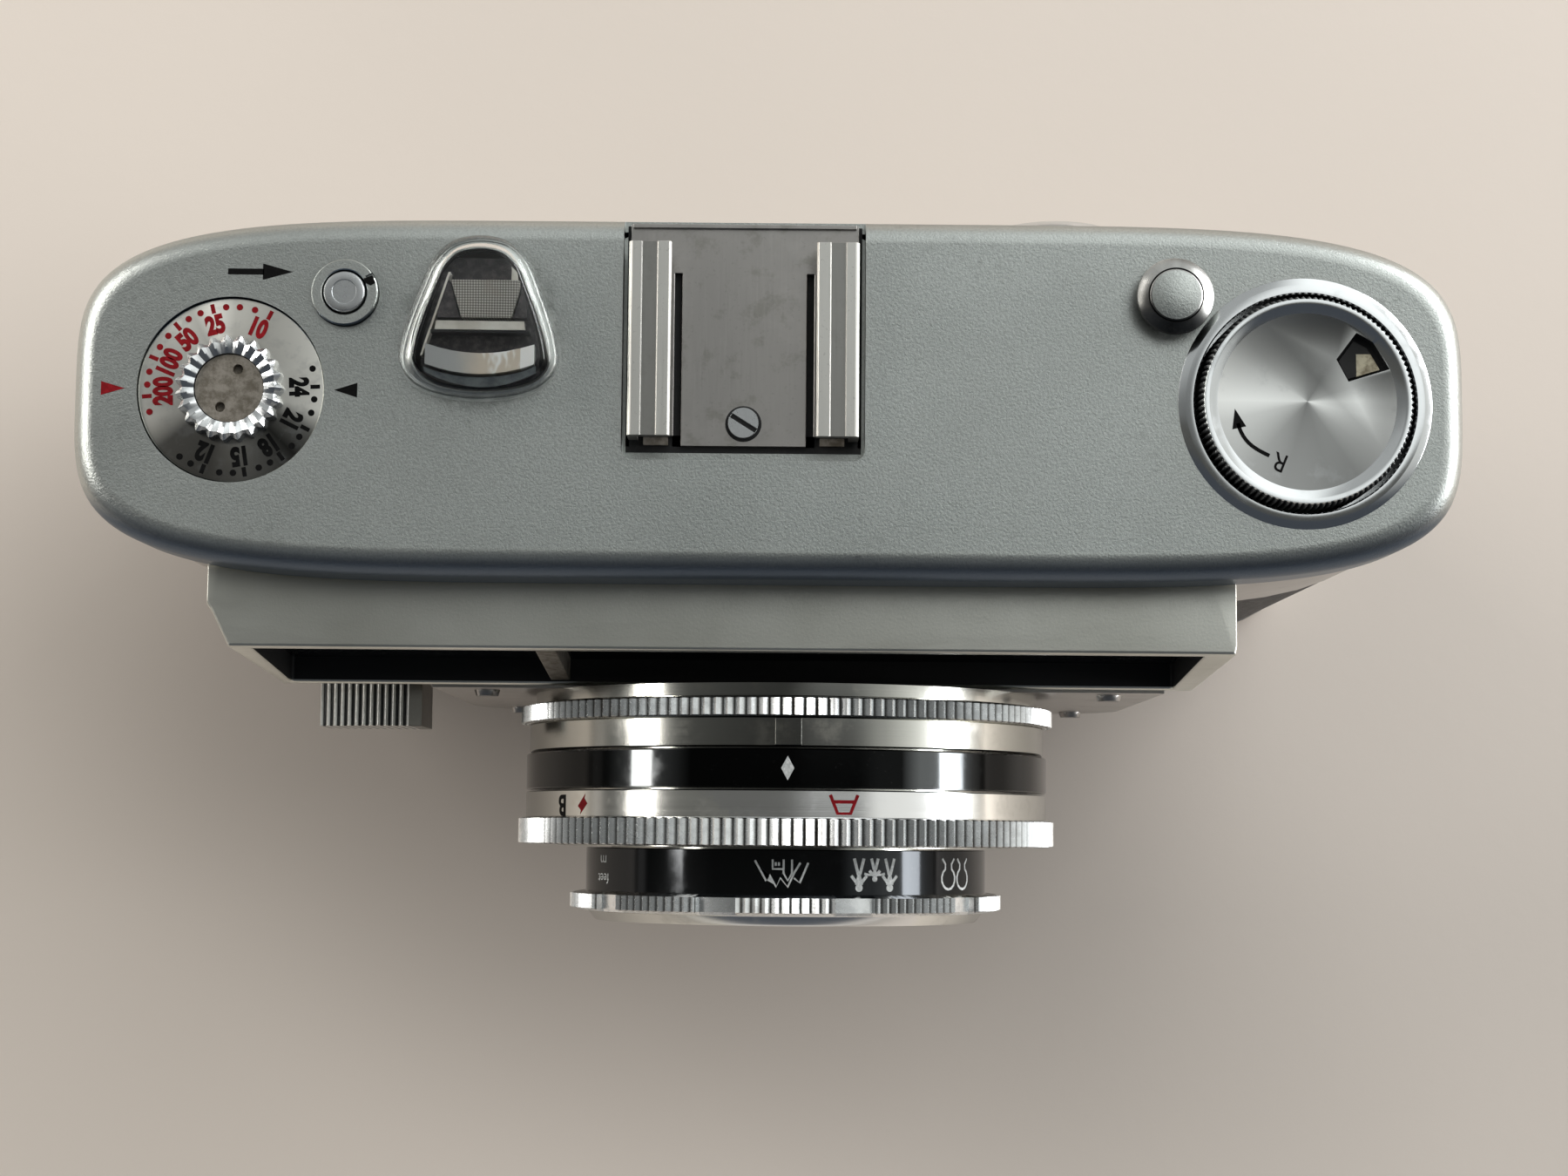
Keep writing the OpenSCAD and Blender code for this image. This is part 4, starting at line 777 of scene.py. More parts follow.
def linked(name, mesh, materials, body, replaces=(), slot=None, angle=34):
    """Puts a mesh into the scene as a piece that rides on a body"""
    mesh.polygons.foreach_set("use_smooth", [True] * len(mesh.polygons))
    mesh.set_sharp_from_angle(angle=angle * DEG)
    obj = bpy.data.objects.new(name, mesh)
    bpy.context.collection.objects.link(obj)
    for material in materials:
        mesh.materials.append(material)
    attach(obj, body)
    if replaces:
        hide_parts(*replaces)
    return obj


def piece(name, bm, materials, body, **more):
    """Puts a bmesh into the scene as a piece, and uses it up"""
    bmesh.ops.recalc_face_normals(bm, faces=bm.faces)
    mesh = bpy.data.meshes.new(name)
    bm.to_mesh(mesh)
    bm.free()
    return linked(name, mesh, materials, body, **more)


def rounded(obj, width, segments=2, angle=34):
    """Rounds the sharp edges of a piece"""
    bevel = obj.modifiers.new("Edge round", "BEVEL")
    bevel.width = width
    bevel.segments = segments
    bevel.limit_method = "ANGLE"
    bevel.angle_limit = angle * DEG
    bevel.use_clamp_overlap = True
    bevel.harden_normals = True
    bevel.miter_outer = "MITER_ARC"


def dress(nodes, material, edge=0.0, angle=34, flat=False):
    """Gives CAD nodes a finish and small rounded edges; flat joins the facets of one plane first"""
    for name in nodes:
        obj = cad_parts[name]
        obj.data.materials.clear()
        obj.data.materials.append(material)
        weld = obj.modifiers.new("Weld", "WELD")
        weld.merge_threshold = 0.002 * MM
        if flat:
            facets = obj.modifiers.new("Flat faces", "DECIMATE")
            facets.decimate_type = "DISSOLVE"
            facets.angle_limit = 0.5 * DEG
        if edge:
            rounded(obj, edge, angle=angle)
        normals = obj.modifiers.new("Normals", "WEIGHTED_NORMAL")
        normals.keep_sharp = not edge


def scaled(points):
    """Points given in millimetres"""
    return [(x * MM, y * MM) for x, y in points]


def add_loop(bm, points):
    return [bm.verts.new(point) for point in points]


def bridge(bm, first, second, material=0):
    """Quads between two rings of as many vertices"""
    for i, j in zip(range(len(first)), [*range(1, len(first)), 0]):
        bm.faces.new((first[i], first[j], second[j], second[i])).material_index = material


def loft(rows, caps=True):
    """Solid through rings of points; without caps the last ring meets the first"""
    bm = bmesh.new()
    loops = [add_loop(bm, row) for row in rows]
    for first, second in zip(loops, loops[1:]):
        bridge(bm, first, second)
    if caps:
        bm.faces.new(list(reversed(loops[0])))
        bm.faces.new(loops[-1])
    else:
        bridge(bm, loops[-1], loops[0])
    return bm


def joined(first, second):
    """Adds the second bmesh to the first and uses it up"""
    mesh = bpy.data.meshes.new("joined")
    second.to_mesh(mesh)
    second.free()
    first.from_mesh(mesh)
    bpy.data.meshes.remove(mesh)
    return first


def cut(bm, *cutters):
    """The first bmesh less the others, all used up"""
    work = []
    for index, source in enumerate((bm, *cutters)):
        bmesh.ops.recalc_face_normals(source, faces=source.faces)
        mesh = bpy.data.meshes.new(f"work_{index}")
        source.to_mesh(mesh)
        source.free()
        obj = bpy.data.objects.new(mesh.name, mesh)
        bpy.context.collection.objects.link(obj)
        work.append(obj)
    for cutter in work[1:]:
        boolean = work[0].modifiers.new("Cut", "BOOLEAN")
        boolean.operation = "DIFFERENCE"
        boolean.solver = "EXACT"
        boolean.object = cutter
    shape = work[0].evaluated_get(bpy.context.evaluated_depsgraph_get())
    result = bmesh.new()
    result.from_mesh(shape.to_mesh())
    shape.to_mesh_clear()
    for obj in work:
        mesh = obj.data
        bpy.data.objects.remove(obj)
        bpy.data.meshes.remove(mesh)
    return result


def circle(centre, radius, height, steps=96):
    """Ring of points about a vertical axis"""
    return [Vector((centre.x + radius * math.cos(2 * math.pi * i / steps),
                    centre.y + radius * math.sin(2 * math.pi * i / steps), height))
            for i in range(steps)]


def drum(centre, levels, steps=96):
    """Solid of revolution about a vertical axis, from pairs of radius and height"""
    return loft([circle(centre, radius, height, steps) for radius, height in levels])


def bore(centre, radius, low, high, steps=96):
    """Plain round cutter"""
    return drum(centre, [(radius, low), (radius, high)], steps)


def toothed(centre, radius, height, depth, steps, tooth, drop=0.0):
    """Ring of points about a vertical axis; the roots of its teeth lie deeper, and lower by drop"""
    points = []
    for i in range(steps):
        turn = 2 * math.pi * i / steps
        r = radius - depth * tooth(i)
        points.append((centre.x + r * math.cos(turn), centre.y + r * math.sin(turn),
                       height - drop * tooth(i)))
    return points


def rounded_box(low, high, corner):
    """Box with rounded vertical edges"""
    centres = [(high.x - corner, high.y - corner, 0), (low.x + corner, high.y - corner, 90),
               (low.x + corner, low.y + corner, 180), (high.x - corner, low.y + corner, 270)]
    ring = [(x + corner * math.cos((start + 15 * k) * DEG), y + corner * math.sin((start + 15 * k) * DEG))
            for x, y, start in centres for k in range(7)]
    return loft([[Vector((x, y, z)) for x, y in ring] for z in (low.z, high.z)])


def notch_cutter(centre, angle, near, far, width, low, high):
    """Box that cuts a notch in a turned piece, from near to far of its centre"""
    bm = bmesh.new()
    bmesh.ops.create_cube(bm, size=1.0)
    place = Matrix.Translation((centre.x, centre.y, (low + high) / 2)) @ Matrix.Rotation(angle * DEG, 4, "Z")
    size = Matrix.Diagonal((far - near, width, high - low, 1))
    return laid(bm, place @ Matrix.Translation(((near + far) / 2, 0, 0)) @ size)


def arc_levels(radius, height, round_by, steps=5):
    """Radius and height down a rounded outer edge, from the side to the top"""
    return [(radius - round_by * (1 - math.cos(k * 90 / steps * DEG)),
             height - round_by * (1 - math.sin(k * 90 / steps * DEG))) for k in range(steps + 1)]


# ---------------------------------------------------------------- outlines of the body

END_RUN = 45.0 * MM
END_SQUARENESS = 4.0


def power(value):
    return math.copysign(abs(value) ** (2 / END_SQUARENESS), value)


def body_outline(inset, height, steps=72):
    """Outline of the body: nearly straight sides with super-elliptic ends, drawn in by inset"""
    depth, run = COVER_HIGH.y - inset, END_RUN - inset
    points = []
    for centre, start in ((COVER_HIGH.x - END_RUN, -90), (COVER_LOW.x + END_RUN, 90)):
        for i in range(steps + 1):
            turn = (start + 180 * i / steps) * DEG
            x, y = centre + run * power(math.cos(turn)), depth * power(math.sin(turn))
            points.append(Vector((x, y, height)))
    return points


def dome_outline(inset, height, steps=7):
    """Outline of the domed window: round at the back, flaring to a gently curved front"""
    control = [(0.0, -0.75), (3.6, -0.35), (5.9, 0.7), (7.1, 2.4), (7.05, 4.3), (6.35, 6.9), (5.35, 9.6),
               (4.35, 11.9), (2.6, 13.6), (0.0, 14.15)]
    ring = control + [(-x, y) for x, y in reversed(control[1:-1])]
    points = []
    count = len(ring)
    for i in range(count):
        a, b, c, d = (Vector(ring[(i + k) % count]) for k in (-1, 0, 1, 2))
        for j in range(steps):
            t = j / steps
            points.append(0.5 * (2 * b + (c - a) * t + (2 * a - 5 * b + 4 * c - d) * t * t
                                 + (3 * b - a - 3 * c + d) * t ** 3))
    inner = []
    for i, point in enumerate(points):
        along = (points[(i + 1) % len(points)] - points[i - 1]).normalized()
        outward = Vector((along.y, -along.x))
        place = point * MM - outward * inset
        inner.append(Vector((DOME.x + place.x, place.y, height)))
    return inner


# ---------------------------------------------------------------- marks

def raised(outlines, thickness):
    """Flat marks from closed outlines of x and y, as thin plates"""
    bm = bmesh.new()
    for outline in outlines:
        low = add_loop(bm, [(x, y, 0.0) for x, y in outline])
        high = add_loop(bm, [(x, y, thickness) for x, y in outline])
        bridge(bm, low, high)
        bm.faces.new(high)
    return bm


def strip(points, width):
    """Outline of a bent line of even width"""
    left, right = [], []
    for i, point in enumerate(points):
        before, after = points[max(i - 1, 0)], points[min(i + 1, len(points) - 1)]
        along = Vector((after[0] - before[0], after[1] - before[1])).normalized()
        off = Vector((-along.y, along.x)) * width / 2
        left.append((point[0] + off.x, point[1] + off.y))
        right.append((point[0] - off.x, point[1] - off.y))
    return left + right[::-1]


def dot(x, y, radius, steps=14):
    """Outline of a round spot"""
    return [(x + radius * math.cos(2 * math.pi * i / steps), y + radius * math.sin(2 * math.pi * i / steps))
            for i in range(steps)]


def lettering(text, height, width=1.0, weight=0.0):
    """Letters as a thin mesh, centred, of that capital height"""
    curve = bpy.data.curves.new("lettering", "FONT")
    curve.body = text
    curve.align_x = "CENTER"
    curve.align_y = "CENTER"
    curve.offset = weight
    curve.extrude = 0.5
    obj = bpy.data.objects.new("lettering", curve)
    bpy.context.collection.objects.link(obj)
    shape = obj.evaluated_get(bpy.context.evaluated_depsgraph_get())
    bm = bmesh.new()
    bm.from_mesh(shape.to_mesh())
    shape.to_mesh_clear()
    bpy.data.objects.remove(obj)
    bpy.data.curves.remove(curve)
    bmesh.ops.remove_doubles(bm, verts=bm.verts, dist=0.0005)
    scale = height / 0.7
    for vert in bm.verts:
        vert.co = Vector((vert.co.x * scale * width, vert.co.y * scale,
                          (vert.co.z + 0.5) * sizes().mark_raise))
    return bm


def laid(bm, matrix):
    """Moves a mark into place"""
    bmesh.ops.transform(bm, matrix=matrix, verts=bm.verts)
    return bm


def wrapped(bm, angle, station, radius, turned=False):
    """Lays a flat mark on a band of the lens: angle from the top towards +X, station forward"""
    bmesh.ops.subdivide_edges(bm, edges=[e for e in bm.edges if e.calc_length() > 1.2 * MM], cuts=3)
    flip = -1 if turned else 1
    for vert in bm.verts:
        x, y, z = vert.co
        bend = angle * DEG + flip * x / radius
        out = radius + z
        vert.co = Vector((LENS.x + out * math.sin(bend), -(station - flip * y),
                          LENS.z + out * math.cos(bend)))
    return bm


def gathered(parts):
    """One bmesh from several, which are used up"""
    whole = bmesh.new()
    for part in parts:
        joined(whole, part)
    return whole


# ---------------------------------------------------------------- operators

class BuildInside(bpy.types.Operator):
    """Finishes the film path, the mechanism, the door and the base"""
    bl_idname = "viewfinder.inside"
    bl_label = "Inside, door and base"

    def execute(self, context):
        edge = sizes().edge_round
        dress(["body_casting", "cassette_casting"], black_matt())
        dress(["satin_band", "bottom_plate", "back_door"], satin_shell(), edge)
        dress(["leather_wrap", "door_leather"], leatherette(), edge)
        dress(["tripod_bush"], aged_brass(), edge)
        dress(["cover_screws", "rewind_shaft", "rewind_sleeve", "film_sprocket", "plate_spring", "hinge_pin",
               "counter_post"], steel_plain())
        self.spring()
        dress(["light_meter", "take_up_spool", "pressure_plate", "shutter_blade_left",
               "shutter_blade_right"], black_matt())
        dress(["meter_needle"], red_paint())
        dress(["door_latch", "advance_lever", "lever_pivot", "eyepiece_bezel"], bright_chrome(), edge)
        dress(["frame_counter"], white_plastic())
        dress(["finder_front_lens", "finder_eye_lens"], clear_glass())
        return {"FINISHED"}

    @staticmethod
    def spring():
        """Coil under the release lever, with closed ends"""
        low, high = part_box("release_spring")
        centre = (low + high) / 2
        wire = 0.2 * MM
        radius = (high.x - low.x) / 2 - wire
        turns, around, section = 9, 28, 8
        steps = turns * around
        free = high.z - low.z - 2 * wire
        rows = []
        for i in range(steps + 1):
            share = min(1.0, max(0.0, (i - around) / (steps - 2 * around)))
            turn = 2 * math.pi * i / around
            out = Vector((math.cos(turn), math.sin(turn), 0))
            core = Vector((centre.x, centre.y, low.z + wire + share * free)) + out * radius
            rows.append([core + (out * math.cos(t) + Vector((0, 0, math.sin(t)))) * wire
                         for t in (2 * math.pi * k / section for k in range(section))])
        coil = piece("release_coil", loft(rows), [steel_plain()], "camera_body", replaces=["release_spring"],
                     slot="steel", angle=60)
        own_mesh(coil)


class BuildCover(bpy.types.Operator):
    """Builds the top cover with its soft rim, its openings and the painted marks"""
    bl_idname = "viewfinder.cover"
    bl_label = "Top cover"

    def execute(self, context):
        round_by = sizes().cover_round
        wall = 1.0 * MM
        turns = [k * 10 * DEG for k in range(10)]
        rim = [(round_by * (1 - math.cos(t)), TOP_Z - 1.1 * round_by * (1 - math.sin(t))) for t in turns]
        levels = [(wall, TOP_Z - wall), (wall, COVER_LOW.z), (0.0, COVER_LOW.z)] + rim
        shell = loft([body_outline(inset, height) for inset, height in levels])
        ends = TOP_Z - 3 * MM, TOP_Z + 2 * MM
        recess_low, recess_high = self.recess()
        holes = [bore(DIAL, half_width("film_speed_dial") + 0.08 * MM, *ends, 160),
                 bore(INDICATOR, half_width("transport_indicator") + 0.06 * MM, *ends),
                 bore(KNOB, half_width("rewind_well"), *ends, 160),
                 bore(CATCH, 2.46 * MM, *ends),
                 loft([dome_outline(0.8 * MM, height) for height in ends]),
                 rounded_box(recess_low, recess_high, 1.1 * MM)]
        bm = cut(shell, *holes)
        tray = rounded_box(recess_low - Vector((1, 1, 1)) * 0.8 * MM,
                           Vector((recess_high.x + 0.8 * MM, COVER_HIGH.y - 1.4 * MM, TOP_Z - 0.6 * MM)),
                           1.4 * MM)
        joined(bm, cut(tray, rounded_box(recess_low, recess_high, 1.1 * MM)))
        cover = piece("cover_shell", bm, [satin_cover()], "camera_body", replaces=["top_cover"],
                      slot="satin_cover")
        rounded(cover, 0.28 * MM, 3, 50)
        normals = cover.modifiers.new("Normals", "WEIGHTED_NORMAL")
        normals.keep_sharp = True
        self.marks()
        return {"FINISHED"}

    @staticmethod
    def recess():
        """Corners of the space that the shoe's plate lies in, open at the back"""
        low = Vector((SHOE_LOW.x - 0.6 * MM, SHOE_LOW.y - 1.5 * MM, SHOE_LOW.z))
        return low, Vector((SHOE_HIGH.x + 0.6 * MM, COVER_HIGH.y + 2 * MM, TOP_Z + 2 * MM))

    @staticmethod
    def marks():
        """Triangles that read the dial, and the arrow beside the film indicator"""
        level = Matrix.Translation((0, 0, TOP_Z))
        y, arrow_y = DIAL.y, 10.8 * MM
        red = [(-58.95 * MM, y), (-61.05 * MM, y + 0.62 * MM), (-61.05 * MM, y - 0.62 * MM)]
        black = [(-40.4 * MM, y), (-38.35 * MM, y - 0.66 * MM), (-38.35 * MM, y + 0.66 * MM)]
        shaft = strip([(-50.1 * MM, arrow_y), (-46.9 * MM, arrow_y)], 0.54 * MM)
        head = [(-47.0 * MM, arrow_y - 0.74 * MM), (-44.35 * MM, arrow_y), (-47.0 * MM, arrow_y + 0.74 * MM)]
        for name, outlines, paint_of in (("mark_film_left", [red], red_paint()),
                                         ("mark_film_right", [black], black_paint()),
                                         ("mark_arrow", [shaft, head], black_paint())):
            piece(name, laid(raised(outlines, sizes().mark_raise), level), [paint_of], "camera_body",
                  slot="satin_cover")


class BuildFront(bpy.types.Operator):
    """Finishes the front housing, its windows, the lens board and the release lever"""
    bl_idname = "viewfinder.front"
    bl_label = "Front housing and board"

    def execute(self, context):
        dress(["front_housing"], housing_satin(), 0.32 * MM)
        dress(["lens_board"], satin_shell(), 0.2 * MM, flat=True)
        dress(["window_divider"], dull_disc(), sizes().edge_round)
        dress(["board_screws"], satin_shell(), sizes().edge_round)
        dress(["release_lever"], ribbed_pad(), 0.07 * MM, 25)
        dress(["finder_window", "cell_window"], window_glass(), 0.05 * MM)
        dress(["selenium_cell"], cell_face(), 0.05 * MM)
        return {"FINISHED"}


RING_BORE = 23.56 * MM                  # inside of the two large rings
BARREL = 23.5 * MM                      # what they turn on
KNURL_DEPTH = 0.42 * MM
FILTER_THREAD = 17.75 * MM
AUTO_ANGLE, BOLT_ANGLE, BULB_ANGLE = 11.6, -47.2, -54.5     # marks of the mode ring, from the top towards +X


def knurl_tooth(i):
    """Share of the tooth depth at one of a tooth's four steps"""
    return (0.0, 0.45, 1.0, 0.45)[i % 4]


class BuildLens(bpy.types.Operator):
    """Builds the knurled rings, the bands and the scalloped grip of the lens"""
    bl_idname = "viewfinder.lens"
    bl_label = "Lens rings"

    def execute(self, context):
        dress(["lens_barrel"], ring_band(), sizes().edge_round)
        dress(["front_cell"], black_matt(), sizes().edge_round)
        dress(["front_lens", "rear_lens"], coated_glass())
        self.aperture()
        self.index()
        self.mode()
        self.focus()
        return {"FINISHED"}

    @staticmethod
    def stations(node):
        """Rear end, front end and radius of a ring, ends counted forward from the origin"""
        low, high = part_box(node)
        return -high.y, -low.y, half_width(node)

    @staticmethod
    def ring(levels, bore_radius, steps, tooth):
        """Ring about the lens axis, from levels of station, radius and, if any, tooth depth and finish"""
        bm = bmesh.new()
        rows = [(levels[0][0], bore_radius), *levels, (levels[-1][0], bore_radius)]
        rows = [(*row, 0.0, 0)[:4] for row in rows]
        loops = []
        for station, radius, depth, _ in rows:
            loop = []
            for i in range(steps):
                turn = 2 * math.pi * i / steps
                r = radius - depth * tooth(i)
                loop.append(bm.verts.new((LENS.x + r * math.sin(turn), -station,
                                          LENS.z + r * math.cos(turn))))
            loops.append(loop)
        for i, loop in enumerate(loops):
            bridge(bm, loop, loops[(i + 1) % len(loops)], material=rows[i][3])
        return bm

    @staticmethod
    def knurl(start, end, radius):
        """Levels of a knurled section with bevelled tooth ends"""
        root = radius - KNURL_DEPTH
        return [(start, root - 0.25 * MM, 0.0, 1), (start + 0.04 * MM, root, 0.0, 1),
                (start + 0.14 * MM, radius, KNURL_DEPTH, 1), (end - 0.14 * MM, radius, KNURL_DEPTH, 1),
                (end - 0.04 * MM, root, 0.0, 1), (end, root - 0.25 * MM)]

    def aperture(self):
        start, end, radius = self.stations("aperture_ring")
        knurled_width, band_drop = 1.85 * MM, 0.9 * MM
        step = start + knurled_width
        band = radius - band_drop
        levels = self.knurl(start, step, radius) + [
            (step + 0.05 * MM, band - 0.1 * MM), (step + 0.15 * MM, band), (end - 0.15 * MM, band),
            (end, band - 0.12 * MM)]
        bm = self.ring(levels, RING_BORE, sizes().knurl_teeth * 4, knurl_tooth)
        teeth_finish = knurled("knurled_rear", radius, radius - KNURL_DEPTH)
        piece("ring_rear", bm, [ring_band(), teeth_finish], "aperture", replaces=["aperture_ring"],
              slot="bright_chrome", angle=28)
        plate = scaled([(-1.25, -1.3), (1.25, -1.3), (1.25, 1.3), (-1.25, 1.3)])
        tab = wrapped(raised([plate], 0.14 * MM), 0.3, (step + end) / 2, band - 0.02 * MM)
        rounded(piece("ring_rear_tab", tab, [ring_band()], "aperture", slot="bright_chrome"), 0.08 * MM)

    def index(self):
        start, end, radius = self.stations("index_band")
        levels = [(start, radius - 0.15 * MM), (start + 0.15 * MM, radius), (end - 0.15 * MM, radius),
                  (end, radius - 0.15 * MM)]
        piece("band_index", self.ring(levels, BARREL, 256, knurl_tooth), [black_lacquer()], "camera_body",
              replaces=["index_band"], slot="black_band", angle=28)
        diamond = scaled([(0.0, 1.15), (-0.62, 0.0), (0.0, -1.15), (0.62, 0.0)])
        mark = wrapped(raised([diamond], sizes().mark_raise), 0.2, (start + end) / 2, radius)
        piece("mark_index", mark, [white_paint()], "camera_body", slot="black_band")

    def mode(self):
        start, end, radius = self.stations("mode_ring")
        marked_width, band_drop = 2.6 * MM, 0.75 * MM
        step = start + marked_width
        band = radius - band_drop
        levels = [(start, band - 0.12 * MM), (start + 0.12 * MM, band), (step - 0.05 * MM, band)]
        levels += self.knurl(step, end, radius)
        bm = self.ring(levels, RING_BORE, sizes().knurl_teeth * 4, knurl_tooth)
        teeth_finish = knurled("knurled_front", radius, radius - KNURL_DEPTH)
        piece("ring_front", bm, [scale_chrome(), teeth_finish], "mode", replaces=["mode_ring"],
              slot="scale_band", angle=28)
        place = (start + step) / 2 + 0.1 * MM
        legs = [(-1.32, -0.95), (-0.62, 0.79), (0.62, 0.79), (1.32, -0.95)]
        bar = [(-1.05, -0.3), (1.05, -0.3)]
        bolt = [(0.35, 1.0), (-0.72, -0.05), (-0.12, -0.05), (-0.42, -1.0), (0.72, 0.2), (0.12, 0.2)]
        letter = raised([strip(scaled(path), 0.32 * MM) for path in (legs, bar)], sizes().mark_raise)
        red = gathered([wrapped(letter, AUTO_ANGLE, place, band, True),
                        wrapped(raised([scaled(bolt)], sizes().mark_raise), BOLT_ANGLE, place, band, True)])
        piece("mark_auto", red, [red_paint()], "mode", slot="scale_band")
        letter = wrapped(lettering("B", 1.95 * MM, 0.9, 0.03), BULB_ANGLE, place, band, True)
        piece("mark_bulb", letter, [black_paint()], "mode", slot="scale_band")

    def focus(self):
        start, end, grip = self.stations("focus_ring")
        band = 20.55 * MM
        black_width, rim_width, scallop = 4.3 * MM, 1.0 * MM, 0.95 * MM
        shoulder, rim = start + black_width, end - rim_width
        lobes, per_lobe, ribbed = 10, 58, 40

        def tooth(i):
            """Fine ribs on each lobe, with a scallop down to the root between lobes"""
            k = (i + ribbed // 2) % per_lobe
            return (0.0, 0.18, 0.36, 0.18)[k % 4] if k <= ribbed else 1.0
        levels = [(start, band - 0.1 * MM), (start + 0.1 * MM, band), (shoulder, band, 0.0, 1),
                  (shoulder + 0.05 * MM, band + 0.1 * MM, 0.0, 1), (shoulder + 0.3 * MM, grip, scallop, 2),
                  (rim - 0.3 * MM, grip, scallop, 2), (rim, grip - 1.2 * MM, 0.0, 1),
                  (rim + 0.1 * MM, band - 0.3 * MM, 0.0, 1), (end - 0.2 * MM, band - 0.8 * MM, 0.0, 1),
                  (end, band - 1.0 * MM, 0.0, 1), (end, FILTER_THREAD + 0.2 * MM, 0.0, 1)]
        bm = self.ring(levels, FILTER_THREAD, lobes * per_lobe, tooth)
        teeth_finish = knurled("knurled_grip", grip, grip - 0.34 * MM)
        piece("ring_focus", bm, [black_lacquer(), scale_chrome(), teeth_finish], "focusing",
              replaces=["focus_ring"], slot="black_band", angle=28)
        self.icons(band, (start + shoulder) / 2)

    @staticmethod
    def icons(band, place):
        """Focusing symbols in white: far hills with a hut, a group, two people, and the unit letters"""
        thick = sizes().mark_raise

        def drawn(paths, line=0.2):
            return [strip(scaled(path), line * MM) for path in paths]
        hills = drawn([[(2.6, -1.1), (1.5, 0.85), (1.2, 0.25), (0.55, 1.4), (0.15, 0.55), (-0.55, 1.4),
                        (-1.2, 0.0), (-1.75, -0.9)], [(-1.15, 0.55), (-1.7, 1.0), (-2.5, -0.9)],
                       [(0.9, -1.2), (0.9, -0.3), (-0.1, -0.3)], [(0.6, -0.95), (0.6, -0.6)],
                       [(0.3, -0.95), (0.3, -0.6)],
                       [(-0.15, -1.2), (-0.15, 0.1), (-0.55, 0.8), (-0.95, 0.1), (-0.95, -1.2)]])
        group = drawn([[(-1.1, 0.1), (-0.7, 0.2), (0.7, 0.2), (1.1, 0.1)]], 0.22)
        for x, head, size in ((-1.65, 1.45, 1.0), (0.0, 0.6, 0.72), (1.65, 1.45, 1.0)):
            hip, neck = head - 1.25 * size, head - 0.3
            group += drawn([[(x - 0.5 * size, -1.35), (x - 0.08, hip)],
                            [(x + 0.5 * size, -1.35), (x + 0.08, hip)],
                            [(x - 0.8 * size, hip + 0.1), (x - 0.1, neck)],
                            [(x + 0.8 * size, hip + 0.1), (x + 0.1, neck)]], 0.3)
            chest = ((-0.16, hip), (0.16, hip), (0.42, neck), (-0.42, neck))
            group += [scaled((x + a * size, b) for a, b in chest),
                      dot(x * MM, head * MM, 0.38 * size * MM)]
        pair = []
        for x in (-1.3, 1.3):
            head = [(x + 1.1 * math.cos(t * DEG), 0.6 + 1.05 * math.sin(t * DEG))
                    for t in range(-60, 241, 25)]
            shoulders = [(x + 1.0, -1.35), (x + 0.5, -0.8)], [(x - 0.5, -0.8), (x - 1.0, -1.35)]
            pair += drawn([shoulders[0] + head + shoulders[1]], 0.24)
        parts = [wrapped(raised(shape, thick), angle, place, band, True)
                 for shape, angle in ((hills, -1.0), (group, 24.6), (pair, 54.8))]
        parts += [wrapped(lettering("m", 1.1 * MM, 1.3), -62.0, place - 0.9 * MM, band, True),
                  wrapped(lettering("feet", 1.0 * MM, 1.15), -62.0, place + 0.85 * MM, band, True)]
        piece("mark_focus", gathered(parts), [white_paint()], "focusing", slot="black_band")


CROWN_BORE = 3.1 * MM
FIGURE_CIRCLE, DOT_CIRCLE = 5.95 * MM, 7.45 * MM
TICK_ENDS = 7.05 * MM, 7.9 * MM


